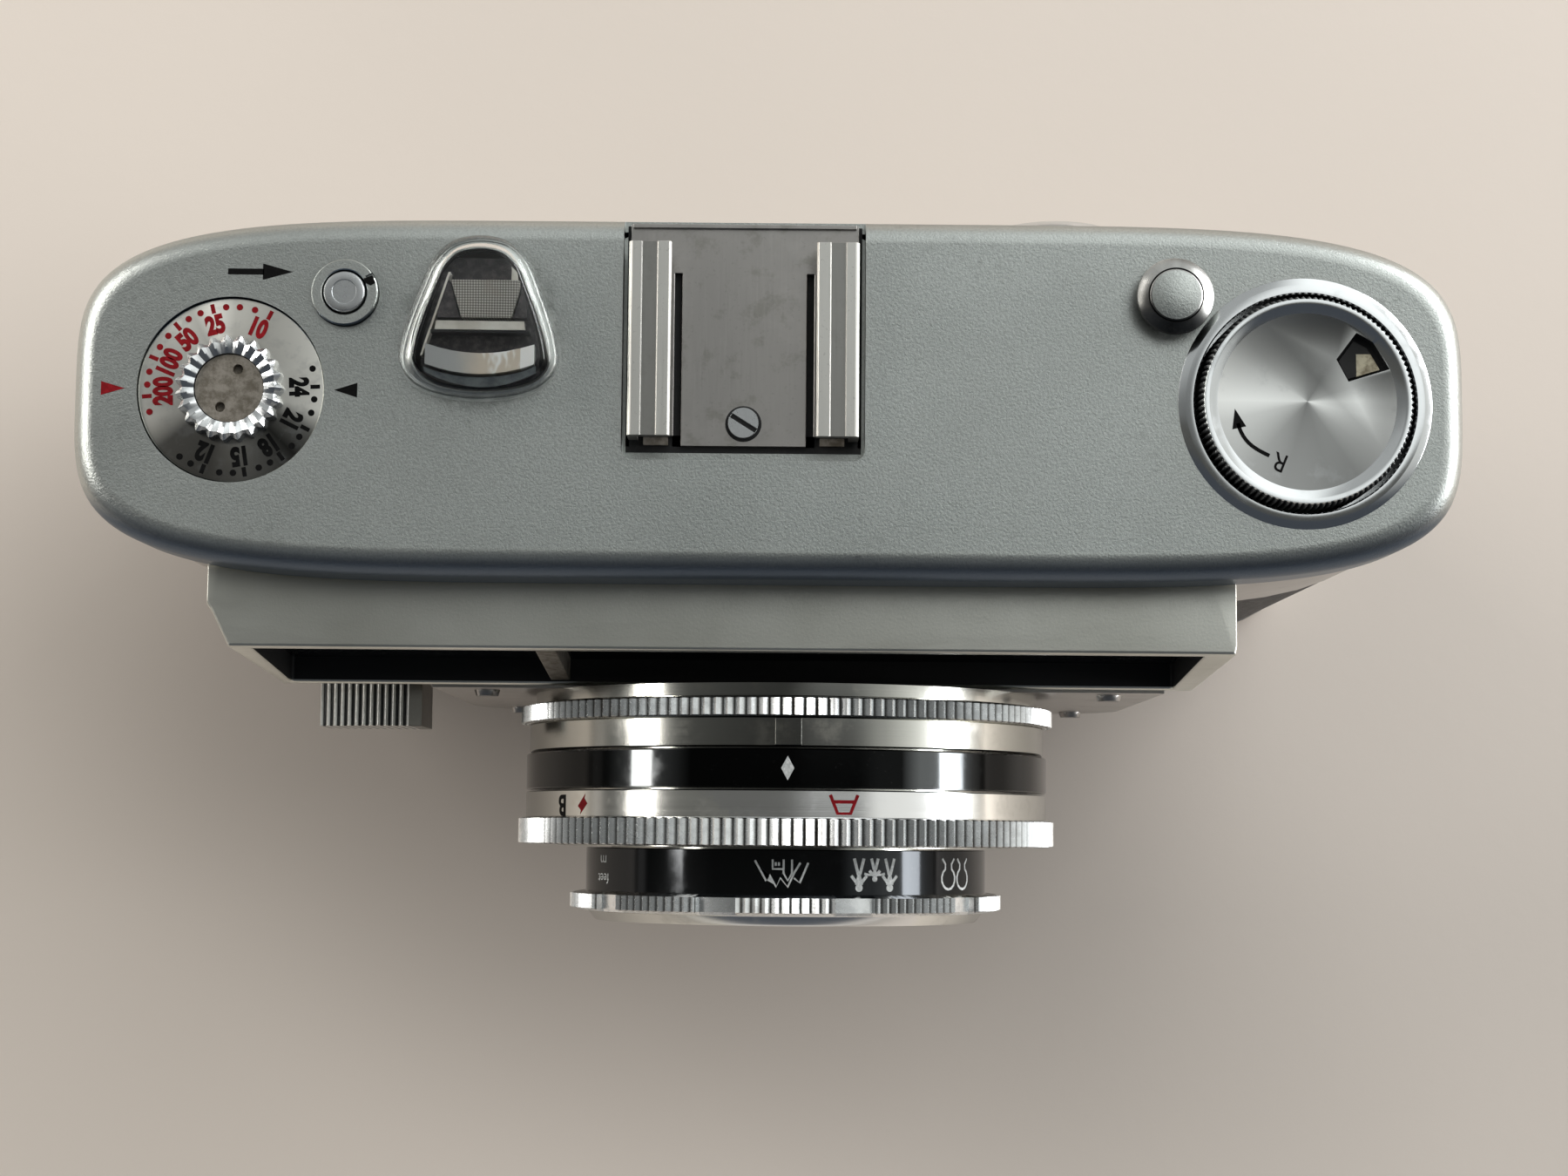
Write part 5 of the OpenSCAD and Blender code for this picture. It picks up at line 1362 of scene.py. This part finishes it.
class BuildDial(bpy.types.Operator):
    """Builds the film-speed dial with its crown, figures and marks"""
    bl_idname = "viewfinder.dial"
    bl_label = "Film-speed dial"

    def execute(self, context):
        face = TOP_Z - 0.3 * MM
        above = face + 1 * MM
        radius = half_width("film_speed_dial")
        crown_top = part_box("film_speed_dial")[1].z
        plate = drum(DIAL, [(radius, face - 1.6 * MM)] + arc_levels(radius, face, 0.10 * MM, 3), 160)
        plate = cut(plate, bore(DIAL, CROWN_BORE, face - 0.6 * MM, above),
                    bore(DIAL, 2.06 * MM, face - 3 * MM, above))
        piece("dial_plate", plate, [etched_dial()], "speed_dial", replaces=["film_speed_dial"],
              slot="etched_dial")
        piece("dial_crown", self.crown(face, crown_top), [turned_metal()], "speed_dial", slot="etched_dial",
              angle=24)
        self.figures(Matrix.Translation((DIAL.x, DIAL.y, face)))
        dress(["dial_retainer"], dull_disc(), 0.08 * MM)
        return {"FINISHED"}

    def figures(self, level):
        """Film speeds with their ticks and dots, on two scales: red and black"""
        scales = {
            "red": (red_paint(), ((181.7, "200"), (157, "100"), (131.8, "50"), (105, "25"), (68.4, "10")),
                    (196, 177, 168, 149.5, 140, 122, 113, 95, 85.6, 75), (185, 158, 131, 104, 64)),
            "black": (black_paint(), ((2.8, "24"), (-26.3, "21"), (-54.4, "18"), (-80.8, "15"),
                                      (-110.6, "12")),
                      (15.2, -6.2, -15.7, -34, -42, -60.6, -69, -87, -96.3, -117, -126),
                      (2.5, -27, -52.4, -79.3, -108))}
        for name, (paint_of, figures, dots, ticks) in scales.items():
            parts = [self.turned(lettering(text, sizes().figure_height, 0.74, 0.060), angle)
                     for angle, text in figures]
            flat = [self.spot(angle) for angle in dots] + [self.bar(angle) for angle in ticks]
            parts.append(raised(flat, sizes().mark_raise))
            piece(f"dial_figures_{name}", laid(gathered(parts), level), [paint_of], "speed_dial",
                  slot="etched_dial")

    @staticmethod
    def crown(low, high):
        """Knurled ring with pointed flutes that slope inwards to the retainer"""
        flutes, per_flute = 23, 6
        outer, inner = 4.85 * MM, CROWN_BORE
        rows = [(inner, low - 0.5 * MM, 0.0), (outer - 0.1 * MM, low - 0.5 * MM, 0.3 * MM),
                (outer, low + 0.3 * MM, 0.45 * MM), (outer - 0.1 * MM, high - 0.35 * MM, 0.5 * MM, 0.2 * MM),
                (outer - 0.65 * MM, high, 0.15 * MM, 0.3 * MM),
                (inner + 0.5 * MM, high - 0.1 * MM, 0.0, 0.3 * MM), (inner, high - 0.5 * MM, 0.0)]
        return loft([toothed(DIAL, radius, height, depth, flutes * per_flute,
                             lambda i: 0.5 - 0.5 * math.cos(2 * math.pi * i / per_flute), *drop)
                     for radius, height, depth, *drop in rows], caps=False)

    @staticmethod
    def around(angle, radius):
        return radius * math.cos(angle * DEG), radius * math.sin(angle * DEG)

    def turned(self, bm, angle):
        """Stands a figure on its circle"""
        place = Vector((*self.around(angle, FIGURE_CIRCLE), 0))
        return laid(bm, Matrix.Translation(place) @ Matrix.Rotation((angle - 90) * DEG, 4, "Z"))

    def spot(self, angle):
        return dot(*self.around(angle, DOT_CIRCLE), 0.29 * MM)

    def bar(self, angle):
        return strip([self.around(angle, radius) for radius in TICK_ENDS], 0.36 * MM)


class BuildControls(bpy.types.Operator):
    """Builds the rewind knob with its well, the catch and the film indicator"""
    bl_idname = "viewfinder.controls"
    bl_label = "Knobs and buttons"

    def execute(self, context):
        self.knob()
        self.well()
        self.catch()
        self.indicator()
        self.release()
        return {"FINISHED"}

    def knob(self):
        """Knurled knob with a spun face, and a window in it that shows the reminder disc"""
        low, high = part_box("rewind_knob")
        radius = half_width("rewind_knob")
        face = high.z - 0.4 * MM
        face_r, flat_r = 7.9 * MM, 8.62 * MM
        teeth = 110
        rows = [(4 * MM, low.z, 0.0), (radius - 0.4 * MM, low.z, 0.0), (radius, low.z + 0.3 * MM, 0.3 * MM),
                (radius - 0.1 * MM, TOP_Z + 0.3 * MM, 0.3 * MM),
                (radius - 0.22 * MM, high.z - 0.3 * MM, 0.24 * MM),
                (radius - 0.42 * MM, high.z - 0.1 * MM, 0.06 * MM),
                (radius - 0.5 * MM, high.z - 0.02 * MM, 0.0),
                (flat_r + 0.12 * MM, high.z, 0.0), (flat_r, high.z - 0.04 * MM, 0.0), (face_r, face, 0.0)]
        body = bmesh.new()
        loops = [add_loop(body, toothed(KNOB, r, z, depth, teeth * 4, lambda i: (0, 0.4, 1, 0.4)[i % 4]))
                 for r, z, depth in rows]
        for i, (first, second) in enumerate(zip(loops, loops[1:])):
            bridge(body, first, second, material=1 if 0 < i < 5 else 0)
        body.faces.new(loops[-1])
        body.faces.new(list(reversed(loops[0])))
        window = scaled([(5.85, 5.35), (7.3, 2.95), (3.65, 1.8), (2.6, 3.8), (4.4, 6.2)])
        opening = loft([[Vector((KNOB.x + x, KNOB.y + y, z)) for x, y in window]
                        for z in (high.z - 1.6 * MM, high.z + 1 * MM)])
        body = cut(body, opening)
        for facet in body.faces:
            centre = facet.calc_center_median()
            away = (centre.xy - KNOB.xy).length
            if away < face_r - 0.25 * MM and centre.z > face - 0.1 * MM:
                facet.material_index = 2
            elif away < face_r - 0.5 * MM and centre.z < face - 0.1 * MM:
                facet.material_index = 3
        piece("knob_body", body, [bright_chrome(), dark_knurl(), spun_face(), black_matt()], "rewind_turn",
              replaces=["rewind_knob"], slot="turned_face", angle=30)
        marks = laid(self.knob_marks(), Matrix.Translation((0, 0, face)))
        piece("knob_marks", marks, [black_paint()], "rewind_turn", slot="turned_face")
        dress(["reminder_disc"], reminder_card(), 0.05 * MM)

    @staticmethod
    def knob_marks():
        """Curved arrow that shows the way to rewind, and its letter"""
        arc = []
        for k in range(13):
            t = k / 12
            swing = math.sin(math.pi * t)
            arc.append((42.2 + (39.25 - 42.2) * t - 1.05 * swing * 0.55, -5.1 + 3.7 * t - 0.45 * swing))
        shaft = strip(scaled(arc[:11]), 0.33 * MM)
        tip, back = Vector(arc[12]) + Vector((-0.05, 0.45)), Vector(arc[9])
        along = (tip - back).normalized()
        side = Vector((-along.y, along.x)) * 0.62
        head = [tuple(point * MM) for point in (tip, back + side, back - side)]
        letter = laid(lettering("R", 1.65 * MM, 0.9), Matrix.Translation((43.15 * MM, -5.6 * MM, 0))
                      @ Matrix.Rotation(158 * DEG, 4, "Z"))
        return gathered([raised([shaft, head], sizes().mark_raise), letter])

    @staticmethod
    def well():
        """Cup around the knob, with a raised rim"""
        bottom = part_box("rewind_well")[0].z
        radius = half_width("rewind_well")
        rim = TOP_Z + 0.26 * MM
        inner, shaft = radius - 1.42 * MM, 3.7 * MM
        levels = [(shaft, bottom), (radius, bottom), (radius, TOP_Z), (radius - 0.08 * MM, TOP_Z + 0.05 * MM),
                  (radius - 0.58 * MM, rim - 0.04 * MM), (radius - 0.68 * MM, rim), (inner + 0.12 * MM, rim),
                  (inner, rim - 0.12 * MM), (inner, bottom + 0.8 * MM), (shaft, bottom + 0.8 * MM)]
        bm = loft([circle(KNOB, r, z, 160) for r, z in levels], caps=False)
        piece("well_cup", bm, [bright_chrome()], "camera_body", replaces=["rewind_well"],
              slot="bright_chrome", angle=24)

    @staticmethod
    def catch():
        """Button with a flat top and a wide bevel"""
        low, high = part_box("knob_catch")
        radius = half_width("knob_catch")
        levels = [(2.4 * MM, low.z), (2.4 * MM, TOP_Z + 1.45 * MM), (radius - 0.12 * MM, TOP_Z + 1.48 * MM),
                  (radius, TOP_Z + 1.56 * MM), (radius, high.z - 0.62 * MM),
                  (radius - 0.06 * MM, high.z - 0.54 * MM),
                  (2.46 * MM, high.z - 0.10 * MM), (2.38 * MM, high.z - 0.16 * MM),
                  (2.30 * MM, high.z - 0.06 * MM), (2.18 * MM, high.z)]
        bm = drum(CATCH, levels)
        bm.normal_update()
        for facet in bm.faces:
            flat = (facet.calc_center_median().xy - CATCH.xy).length < 2.2 * MM and facet.normal.z > 0.9
            facet.material_index = 0 if flat else 1
        piece("catch_button", bm, [satin_cover(), catch_bevel()], "catch_button", replaces=["knob_catch"],
              slot="turned_face", angle=40)

    @staticmethod
    def indicator():
        """Notched collar that turns as the film runs, with a dark mark"""
        low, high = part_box("transport_indicator")
        radius = half_width("transport_indicator")
        inner, stem = 2.02 * MM, 2.6 * MM
        levels = [(inner, low.z), (stem, low.z), (stem, 76 * MM), (radius, 76.3 * MM),
                  (radius, high.z - 0.10 * MM), (radius - 0.10 * MM, high.z), (inner + 0.08 * MM, high.z),
                  (inner, high.z - 0.08 * MM)]
        collar = loft([circle(INDICATOR, r, z) for r, z in levels], caps=False)
        notch = notch_cutter(INDICATOR, 31, 2.3 * MM, 3.4 * MM, 0.55 * MM, high.z - 0.35 * MM,
                             high.z + 1 * MM)
        piece("indicator_collar", cut(collar, notch), [satin_cover()], "indicator",
              replaces=["transport_indicator"], slot="turned_face")
        level = Matrix.Translation((INDICATOR.x, INDICATOR.y, high.z))
        patch = scaled([(2.35, -0.42), (2.85, -0.36), (2.85, 0.36), (2.0, 0.42), (2.0, 0.0)])
        mark = laid(raised([patch], sizes().mark_raise), level @ Matrix.Rotation(24 * DEG, 4, "Z"))
        piece("indicator_mark", mark, [black_paint()], "indicator", slot="turned_face")

    @staticmethod
    def release():
        """Rewind release in the middle of the collar, with a shallow dish"""
        low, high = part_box("rewind_release")
        radius = half_width("rewind_release")
        levels = [(radius, low.z), *arc_levels(radius, high.z, 0.22 * MM, 3),
                  (radius - 0.75 * MM, high.z - 0.02 * MM), (radius - 0.8 * MM, high.z - 0.12 * MM)]
        piece("release_button", drum(INDICATOR, levels), [turned_metal()], "release_button",
              replaces=["rewind_release"], slot="turned_face", angle=30)


class BuildShoe(bpy.types.Operator):
    """Finishes the accessory shoe: its plate, rails, springs and screw"""
    bl_idname = "viewfinder.shoe"
    bl_label = "Accessory shoe"

    def execute(self, context):
        self.plate()
        self.rails()
        dress(["shoe_screw"], turned_metal(), 0.08 * MM)
        return {"FINISHED"}

    @staticmethod
    def block(low, high):
        """Part of the shoe with its vertical edges barely rounded"""
        return rounded_box(Vector(low), Vector(high), 0.05 * MM)

    def plate(self):
        """Floor of the shoe: a tongue between two slots, side strips under the rails and a lip at the back"""
        x0, x1, y0, y1, top = SHOE_LOW.x, SHOE_HIGH.x, SHOE_LOW.y, COVER_HIGH.y - 0.45 * MM, SHOE_HIGH.z
        screw = middle("shoe_screw")
        strip_width, slot = 3.95 * MM, 0.68 * MM
        left, right = x0 + strip_width, x1 - strip_width
        slot_end = y1 - 4.4 * MM
        under, strip_front = SHOE_LOW.z, y0 + 0.9 * MM
        plan = [(x0, y1), (x0, strip_front), (left, strip_front), (left, slot_end), (left + slot, slot_end),
                (left + slot, y0), (right - slot, y0), (right - slot, slot_end), (right, slot_end),
                (right, strip_front), (x1, strip_front), (x1, y1)]
        floor = loft([[Vector((x, y, z)) for x, y in plan[::-1]] for z in (under, top)])
        bm = cut(floor, bore(screw, 0.85 * MM, under - 1 * MM, top + 1 * MM, 24))
        joined(bm, self.block((x0 + 0.2 * MM, y1 - 0.35 * MM, under), (x1 - 0.2 * MM, y1, top + 0.35 * MM)))
        plate = piece("shoe_floor", bm, [shoe_metal()], "camera_body", replaces=["shoe_plate"],
                      slot="turned_face")
        rounded(plate, 0.05 * MM)
        self.painted_shade(x0, x1, y0, y1, left, right, slot, slot_end)
        tabs = gathered([self.block((x, y0 + 0.1 * MM, under), (x + 2.2 * MM, y0 + 0.8 * MM, top - 0.25 * MM))
                         for x in (x0 + 1.3 * MM, x1 - 3.4 * MM)])
        piece("shoe_tabs", tabs, [dull_disc()], "camera_body", slot="turned_face")

    def painted_shade(self, x0, x1, y0, y1, left, right, slot, slot_end):
        """Black sheets of painted shade in the recess around the plate, in its slots and round its screw, and
        in the screw's own slot
        """
        screw, top = middle("shoe_screw"), SHOE_HIGH.z
        over, side = 0.1 * MM, 0.32 * MM
        low, high = SHOE_LOW.z - 0.1 * MM, SHOE_LOW.z + 0.03 * MM
        plans = [(x0 - 0.3 * MM, y0 - 0.55 * MM, x1 + 0.3 * MM, y0 + 1.0 * MM),
                 (left - over, y0, left + slot + over, slot_end),
                 (right - slot - over, y0, right + over, slot_end), (x0 - side, y0, x0, y1),
                 (x1, y0, x1 + side, y1)]
        painted_shade = [self.block((xa, ya, low), (xb, yb, high)) for xa, ya, xb, yb in plans]
        # Dark ring of painted shade round the screw head, and a black strip of painted shade for its slot
        painted_shade.append(drum(screw, [(1.62 * MM, top), (1.55 * MM, top + 0.03 * MM)], 32))
        notch = raised([strip(scaled([(-1.3, 0), (1.3, 0)]), 0.42 * MM)], 0.02 * MM)
        painted_shade.append(laid(notch, Matrix.Translation((screw.x, screw.y, top + 0.31 * MM))
                         @ Matrix.Rotation(-32 * DEG, 4, "Z")))
        piece("shoe_gaps", gathered(painted_shade), [black_matt()], "camera_body", slot="turned_face")

    @staticmethod
    def rails():
        """Rails with a groove along each lip, open at both ends"""
        low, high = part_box("shoe_rails")
        top, lip, wall = high.z, 3.77 * MM, 0.85 * MM
        lip_low = top - 1.0 * MM
        profile = [(0, SHOE_HIGH.z), (wall, SHOE_HIGH.z), (wall, lip_low), (lip, lip_low),
                   (lip, top - 0.22 * MM),
                   (lip - 0.16 * MM, top - 0.03 * MM), (lip - 0.25 * MM, top), (lip * 0.68, top),
                   (lip * 0.665, top - 0.12 * MM), (lip * 0.315, top - 0.12 * MM), (lip * 0.30, top),
                   (0.34 * MM, top), (0.18 * MM, top - 0.06 * MM), (0, top - 0.35 * MM)]
        front, back = SHOE_LOW.y + 0.45 * MM, SHOE_HIGH.y - 1.6 * MM
        bm = bmesh.new()
        for start, way in ((low.x, 1), (high.x, -1)):
            rows = [[Vector((start + way * x, y, z)) for x, z in profile] for y in (front, back)]
            joined(bm, loft(rows))
        bmesh.ops.recalc_face_normals(bm, faces=bm.faces)
        rounded(piece("shoe_lips", bm, [shoe_metal()], "camera_body", replaces=["shoe_rails"],
                      slot="turned_face", angle=12), 0.03 * MM, 2, 20)


class BuildDome(bpy.types.Operator):
    """Builds the domed light window with the lens and the diffuser inside it"""
    bl_idname = "viewfinder.dome"
    bl_label = "Domed window"

    def execute(self, context):
        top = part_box("dome_window")[1].z
        base = TOP_Z + 0.05 * MM
        rise = top - base
        turns = [k * 15 * DEG for k in range(7)]
        skin = [dome_outline(1.45 * MM * (1 - math.cos(t)), base + rise * math.sin(t)) for t in turns]
        hollow = [dome_outline(0.75 * MM + 1.1 * MM * (1 - math.cos(t)),
                               base + (rise - 0.6 * MM) * math.sin(t))
                  for t in reversed(turns)]
        seat = [dome_outline(1.1 * MM, TOP_Z - 1.5 * MM), dome_outline(0.95 * MM, TOP_Z - 1.5 * MM),
                dome_outline(0.95 * MM, TOP_Z - 0.1 * MM)]
        bm = bmesh.new()
        outer = [add_loop(bm, row) for row in seat[1:] + skin]
        inner = [add_loop(bm, row) for row in hollow + seat[:1]]
        for rows in (outer, inner):
            for first, second in zip(rows, rows[1:]):
                bridge(bm, first, second)
        bm.faces.new(outer[-1])
        bm.faces.new(list(reversed(inner[0])))
        bridge(bm, inner[-1], outer[0])
        piece("dome_shell", bm, [clear_plastic()], "camera_body", replaces=["dome_window"],
              slot="clear_plastic", angle=60)
        self.inside()
        return {"FINISHED"}

    @staticmethod
    def inside():
        """Hatched diffuser at the back, pale bar across, curved bright lens in front, all on a dark floor"""
        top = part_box("light_block")[1].z
        floor_z = top - 2.4 * MM

        def slab(points, drop, low=floor_z):
            """Upright solid on a plan in millimetres, its top that far under the block's"""
            return loft([[Vector((DOME.x + x, y, z)) for x, y in scaled(points)]
                         for z in (low, top - drop * MM)])

        def bow(x_reach, middle_y, end_y, count=8):
            """Points of a curve that runs forward at its ends"""
            spots = [2 * k / count - 1 for k in range(count + 1)]
            return [(t * x_reach, middle_y + (end_y - middle_y) * t * t) for t in spots]
        back = slab([(-1.75, 6.8), (2.7, 6.8), (3.75, 10.2), (-2.7, 10.2)], 0.9)
        piece("diffuser", back, [hatched_card()], "camera_body", replaces=["light_block"],
              slot="clear_plastic")
        cheeks = [slab([(-1.9, 6.8), (-2.85, 10.2), (-3.6, 10.2), (-3.9, 6.8)], 1.1),
                  slab([(2.85, 6.8), (4.1, 6.8), (3.9, 10.2), (3.85, 10.0)], 1.1)]
        lens = slab(bow(4.85, 1.7, 2.6) + bow(4.85, 3.55, 4.4)[::-1], 0.7)
        lip = slab(bow(5.1, 0.35, 1.7) + bow(5.1, 1.5, 2.4)[::-1], 1.3)
        # Black strip of painted shade in front of the pale bar
        shade_strip = slab([(-4.4, 5.42), (4.4, 5.42), (4.4, 5.62), (-4.4, 5.62)], 0.7)
        bar = slab([(-4.0, 5.64), (4.0, 5.64), (3.9, 6.42), (-3.9, 6.42)], 0.6)
        glints = [slab([(2.6, 8.4), (3.1, 8.2), (3.5, 11.0), (2.7, 11.5)], 1.0),
                  slab([(-5.3, 3.4), (-5.1, 3.4), (-2.75, 10.9), (-2.95, 10.9)], 1.0)]
        tray = slab([(-5.6, 0.4), (5.6, 0.4), (5.3, 5.0), (3.5, 12.5), (-3.5, 12.5), (-5.3, 5.0)], 2.4,
                    floor_z - 1.0 * MM)
        for name, shape, material in (
                ("dome_cheeks", gathered(cheeks), dark_card()), ("dome_lens", lens, bright_lens()),
                ("dome_lip", lip, slate_plastic()), ("dome_shade", shade_strip, black_matt()),
                ("dome_bar", bar, milky_lens()), ("dome_glints", gathered(glints), milky_lens()),
                ("dome_floor", tray, dark_card())):
            piece(name, shape, [material], "camera_body", slot="clear_plastic")


# ---------------------------------------------------------------- stage

VIEW_LENS = 58.26                                       # focal length in mm on a 36 mm wide sensor
VIEW_PLACE = (-0.4 * MM, -38.8 * MM, 304 * MM)
VIEW_TILT, VIEW_TURN = 5.59, 0.5                        # degrees from looking straight down
ROOM_CENTRE = Vector((0.0, 0.0, 0.04))
WINDOW_DISTANCE = 0.6


class BuildStage(bpy.types.Operator):
    """Adds the floor, the soft light and the camera"""
    bl_idname = "viewfinder.stage"
    bl_label = "Stage"

    def execute(self, context):
        self.floor()
        self.room()
        self.window("window_right", 73, 20, (0.70, 0.14), 3.5, (0.97, 0.985, 1.0))
        self.window("window_left", 62, 160, (0.48, 0.11), 1.75, (1.0, 0.97, 0.92))
        self.camera()
        context.scene.view_settings.view_transform = "Standard"
        return {"FINISHED"}

    @staticmethod
    def floor():
        """Pale paper with painted shadows close to the camera body"""
        bm = bmesh.new()
        reach = 1.5
        corners = [(-reach, -reach, 0), (reach, -reach, 0), (reach, reach, 0), (-reach, reach, 0)]
        bm.faces.new(add_loop(bm, corners))
        mesh = bpy.data.meshes.new("floor")
        bm.to_mesh(mesh)
        bm.free()
        obj = bpy.data.objects.new("floor", mesh)
        bpy.context.collection.objects.link(obj)
        mesh.materials.append(floor_paper())

    @staticmethod
    def room():
        """The room around: navy towards the viewer, a pale ceiling behind that is brighter to the right"""
        s = Shader("room", bpy.data.worlds, "ShaderNodeOutputWorld")
        x, y, z = s.parts(s.add("ShaderNodeTexCoord").out("Generated"))
        level = x.between(-0.01, 0.25) * 0.95 + y.between(0.14, 0.42) * 0.26 + 0.18
        ceiling = s.joined(level * 0.97, level, level * 0.985)
        near = s.mixed(y.between(-0.30, -0.08), (0.060, 0.068, 0.080), (0.085, 0.085, 0.078))
        colour = s.mixed(y.between(0.0, 0.12), near, ceiling)
        right = x.between(0.50, 0.66) * y.between(-0.45, -0.05)
        colour = s.mixed(right, colour, (0.70, 0.71, 0.68))
        colour = s.mixed(z.between(0.02, 0.10), (0.55, 0.52, 0.48), colour)
        background = s.add("ShaderNodeBackground", {}, {"Color": colour, "Strength": 1.0})
        bpy.context.scene.world = s.shown(background)

    @staticmethod
    def window(name, from_zenith, round_from_right, size, watts, colour):
        """Soft, wide window light, placed by its angles from the zenith and round from the right"""
        data = bpy.data.lights.new(name, "AREA")
        data.shape = "RECTANGLE"
        data.size, data.size_y = size
        data.energy = watts
        data.color = colour
        obj = bpy.data.objects.new(name, data)
        tilt, turn = from_zenith * DEG, round_from_right * DEG
        way = Vector((math.sin(tilt) * math.cos(turn), math.sin(tilt) * math.sin(turn), math.cos(tilt)))
        obj.location = ROOM_CENTRE + way * WINDOW_DISTANCE
        obj.rotation_euler = (ROOM_CENTRE - obj.location).to_track_quat("-Z", "Y").to_euler()
        bpy.context.collection.objects.link(obj)

    @staticmethod
    def camera():
        """View from above, tilted a little towards the front"""
        data = bpy.data.cameras.new("camera")
        data.lens = VIEW_LENS
        data.sensor_width = 36.0
        data.clip_start = 0.01
        obj = bpy.data.objects.new("camera", data)
        obj.matrix_world = (Matrix.Translation(VIEW_PLACE) @ Matrix.Rotation(VIEW_TILT * DEG, 4, "X")
                            @ Matrix.Rotation(VIEW_TURN * DEG, 4, "Z"))
        bpy.context.collection.objects.link(obj)
        bpy.context.scene.camera = obj


BUILDERS = (BuildInside, BuildCover, BuildFront, BuildLens, BuildDial, BuildControls, BuildShoe, BuildDome,
            BuildStage)


class CameraPanel(bpy.types.Panel):
    """Sizes, colours and builders of the camera"""
    bl_idname = "VIEW3D_PT_viewfinder"
    bl_label = "Viewfinder camera"
    bl_space_type = "VIEW_3D"
    bl_region_type = "UI"
    bl_category = "Camera"

    def draw(self, context):
        for group in (context.scene.camera_sizes, context.scene.camera_colours):
            for name in group.bl_rna.properties.keys():
                if name not in ("rna_type", "name"):
                    self.layout.prop(group, name)
        for builder in BUILDERS:
            self.layout.operator(builder.bl_idname)


CLASSES = (CameraSizes, CameraColours, *BUILDERS, CameraPanel)


def register():
    for cls in CLASSES:
        bpy.utils.register_class(cls)
    bpy.types.Scene.camera_sizes = bpy.props.PointerProperty(type=CameraSizes)
    bpy.types.Scene.camera_colours = bpy.props.PointerProperty(type=CameraColours)


def unregister():
    del bpy.types.Scene.camera_colours
    del bpy.types.Scene.camera_sizes
    for cls in reversed(CLASSES):
        bpy.utils.unregister_class(cls)


def main():
    register()
    for builder in BUILDERS:
        group, name = builder.bl_idname.split(".")
        getattr(getattr(bpy.ops, group), name)()


if __name__ == "__main__":
    main()
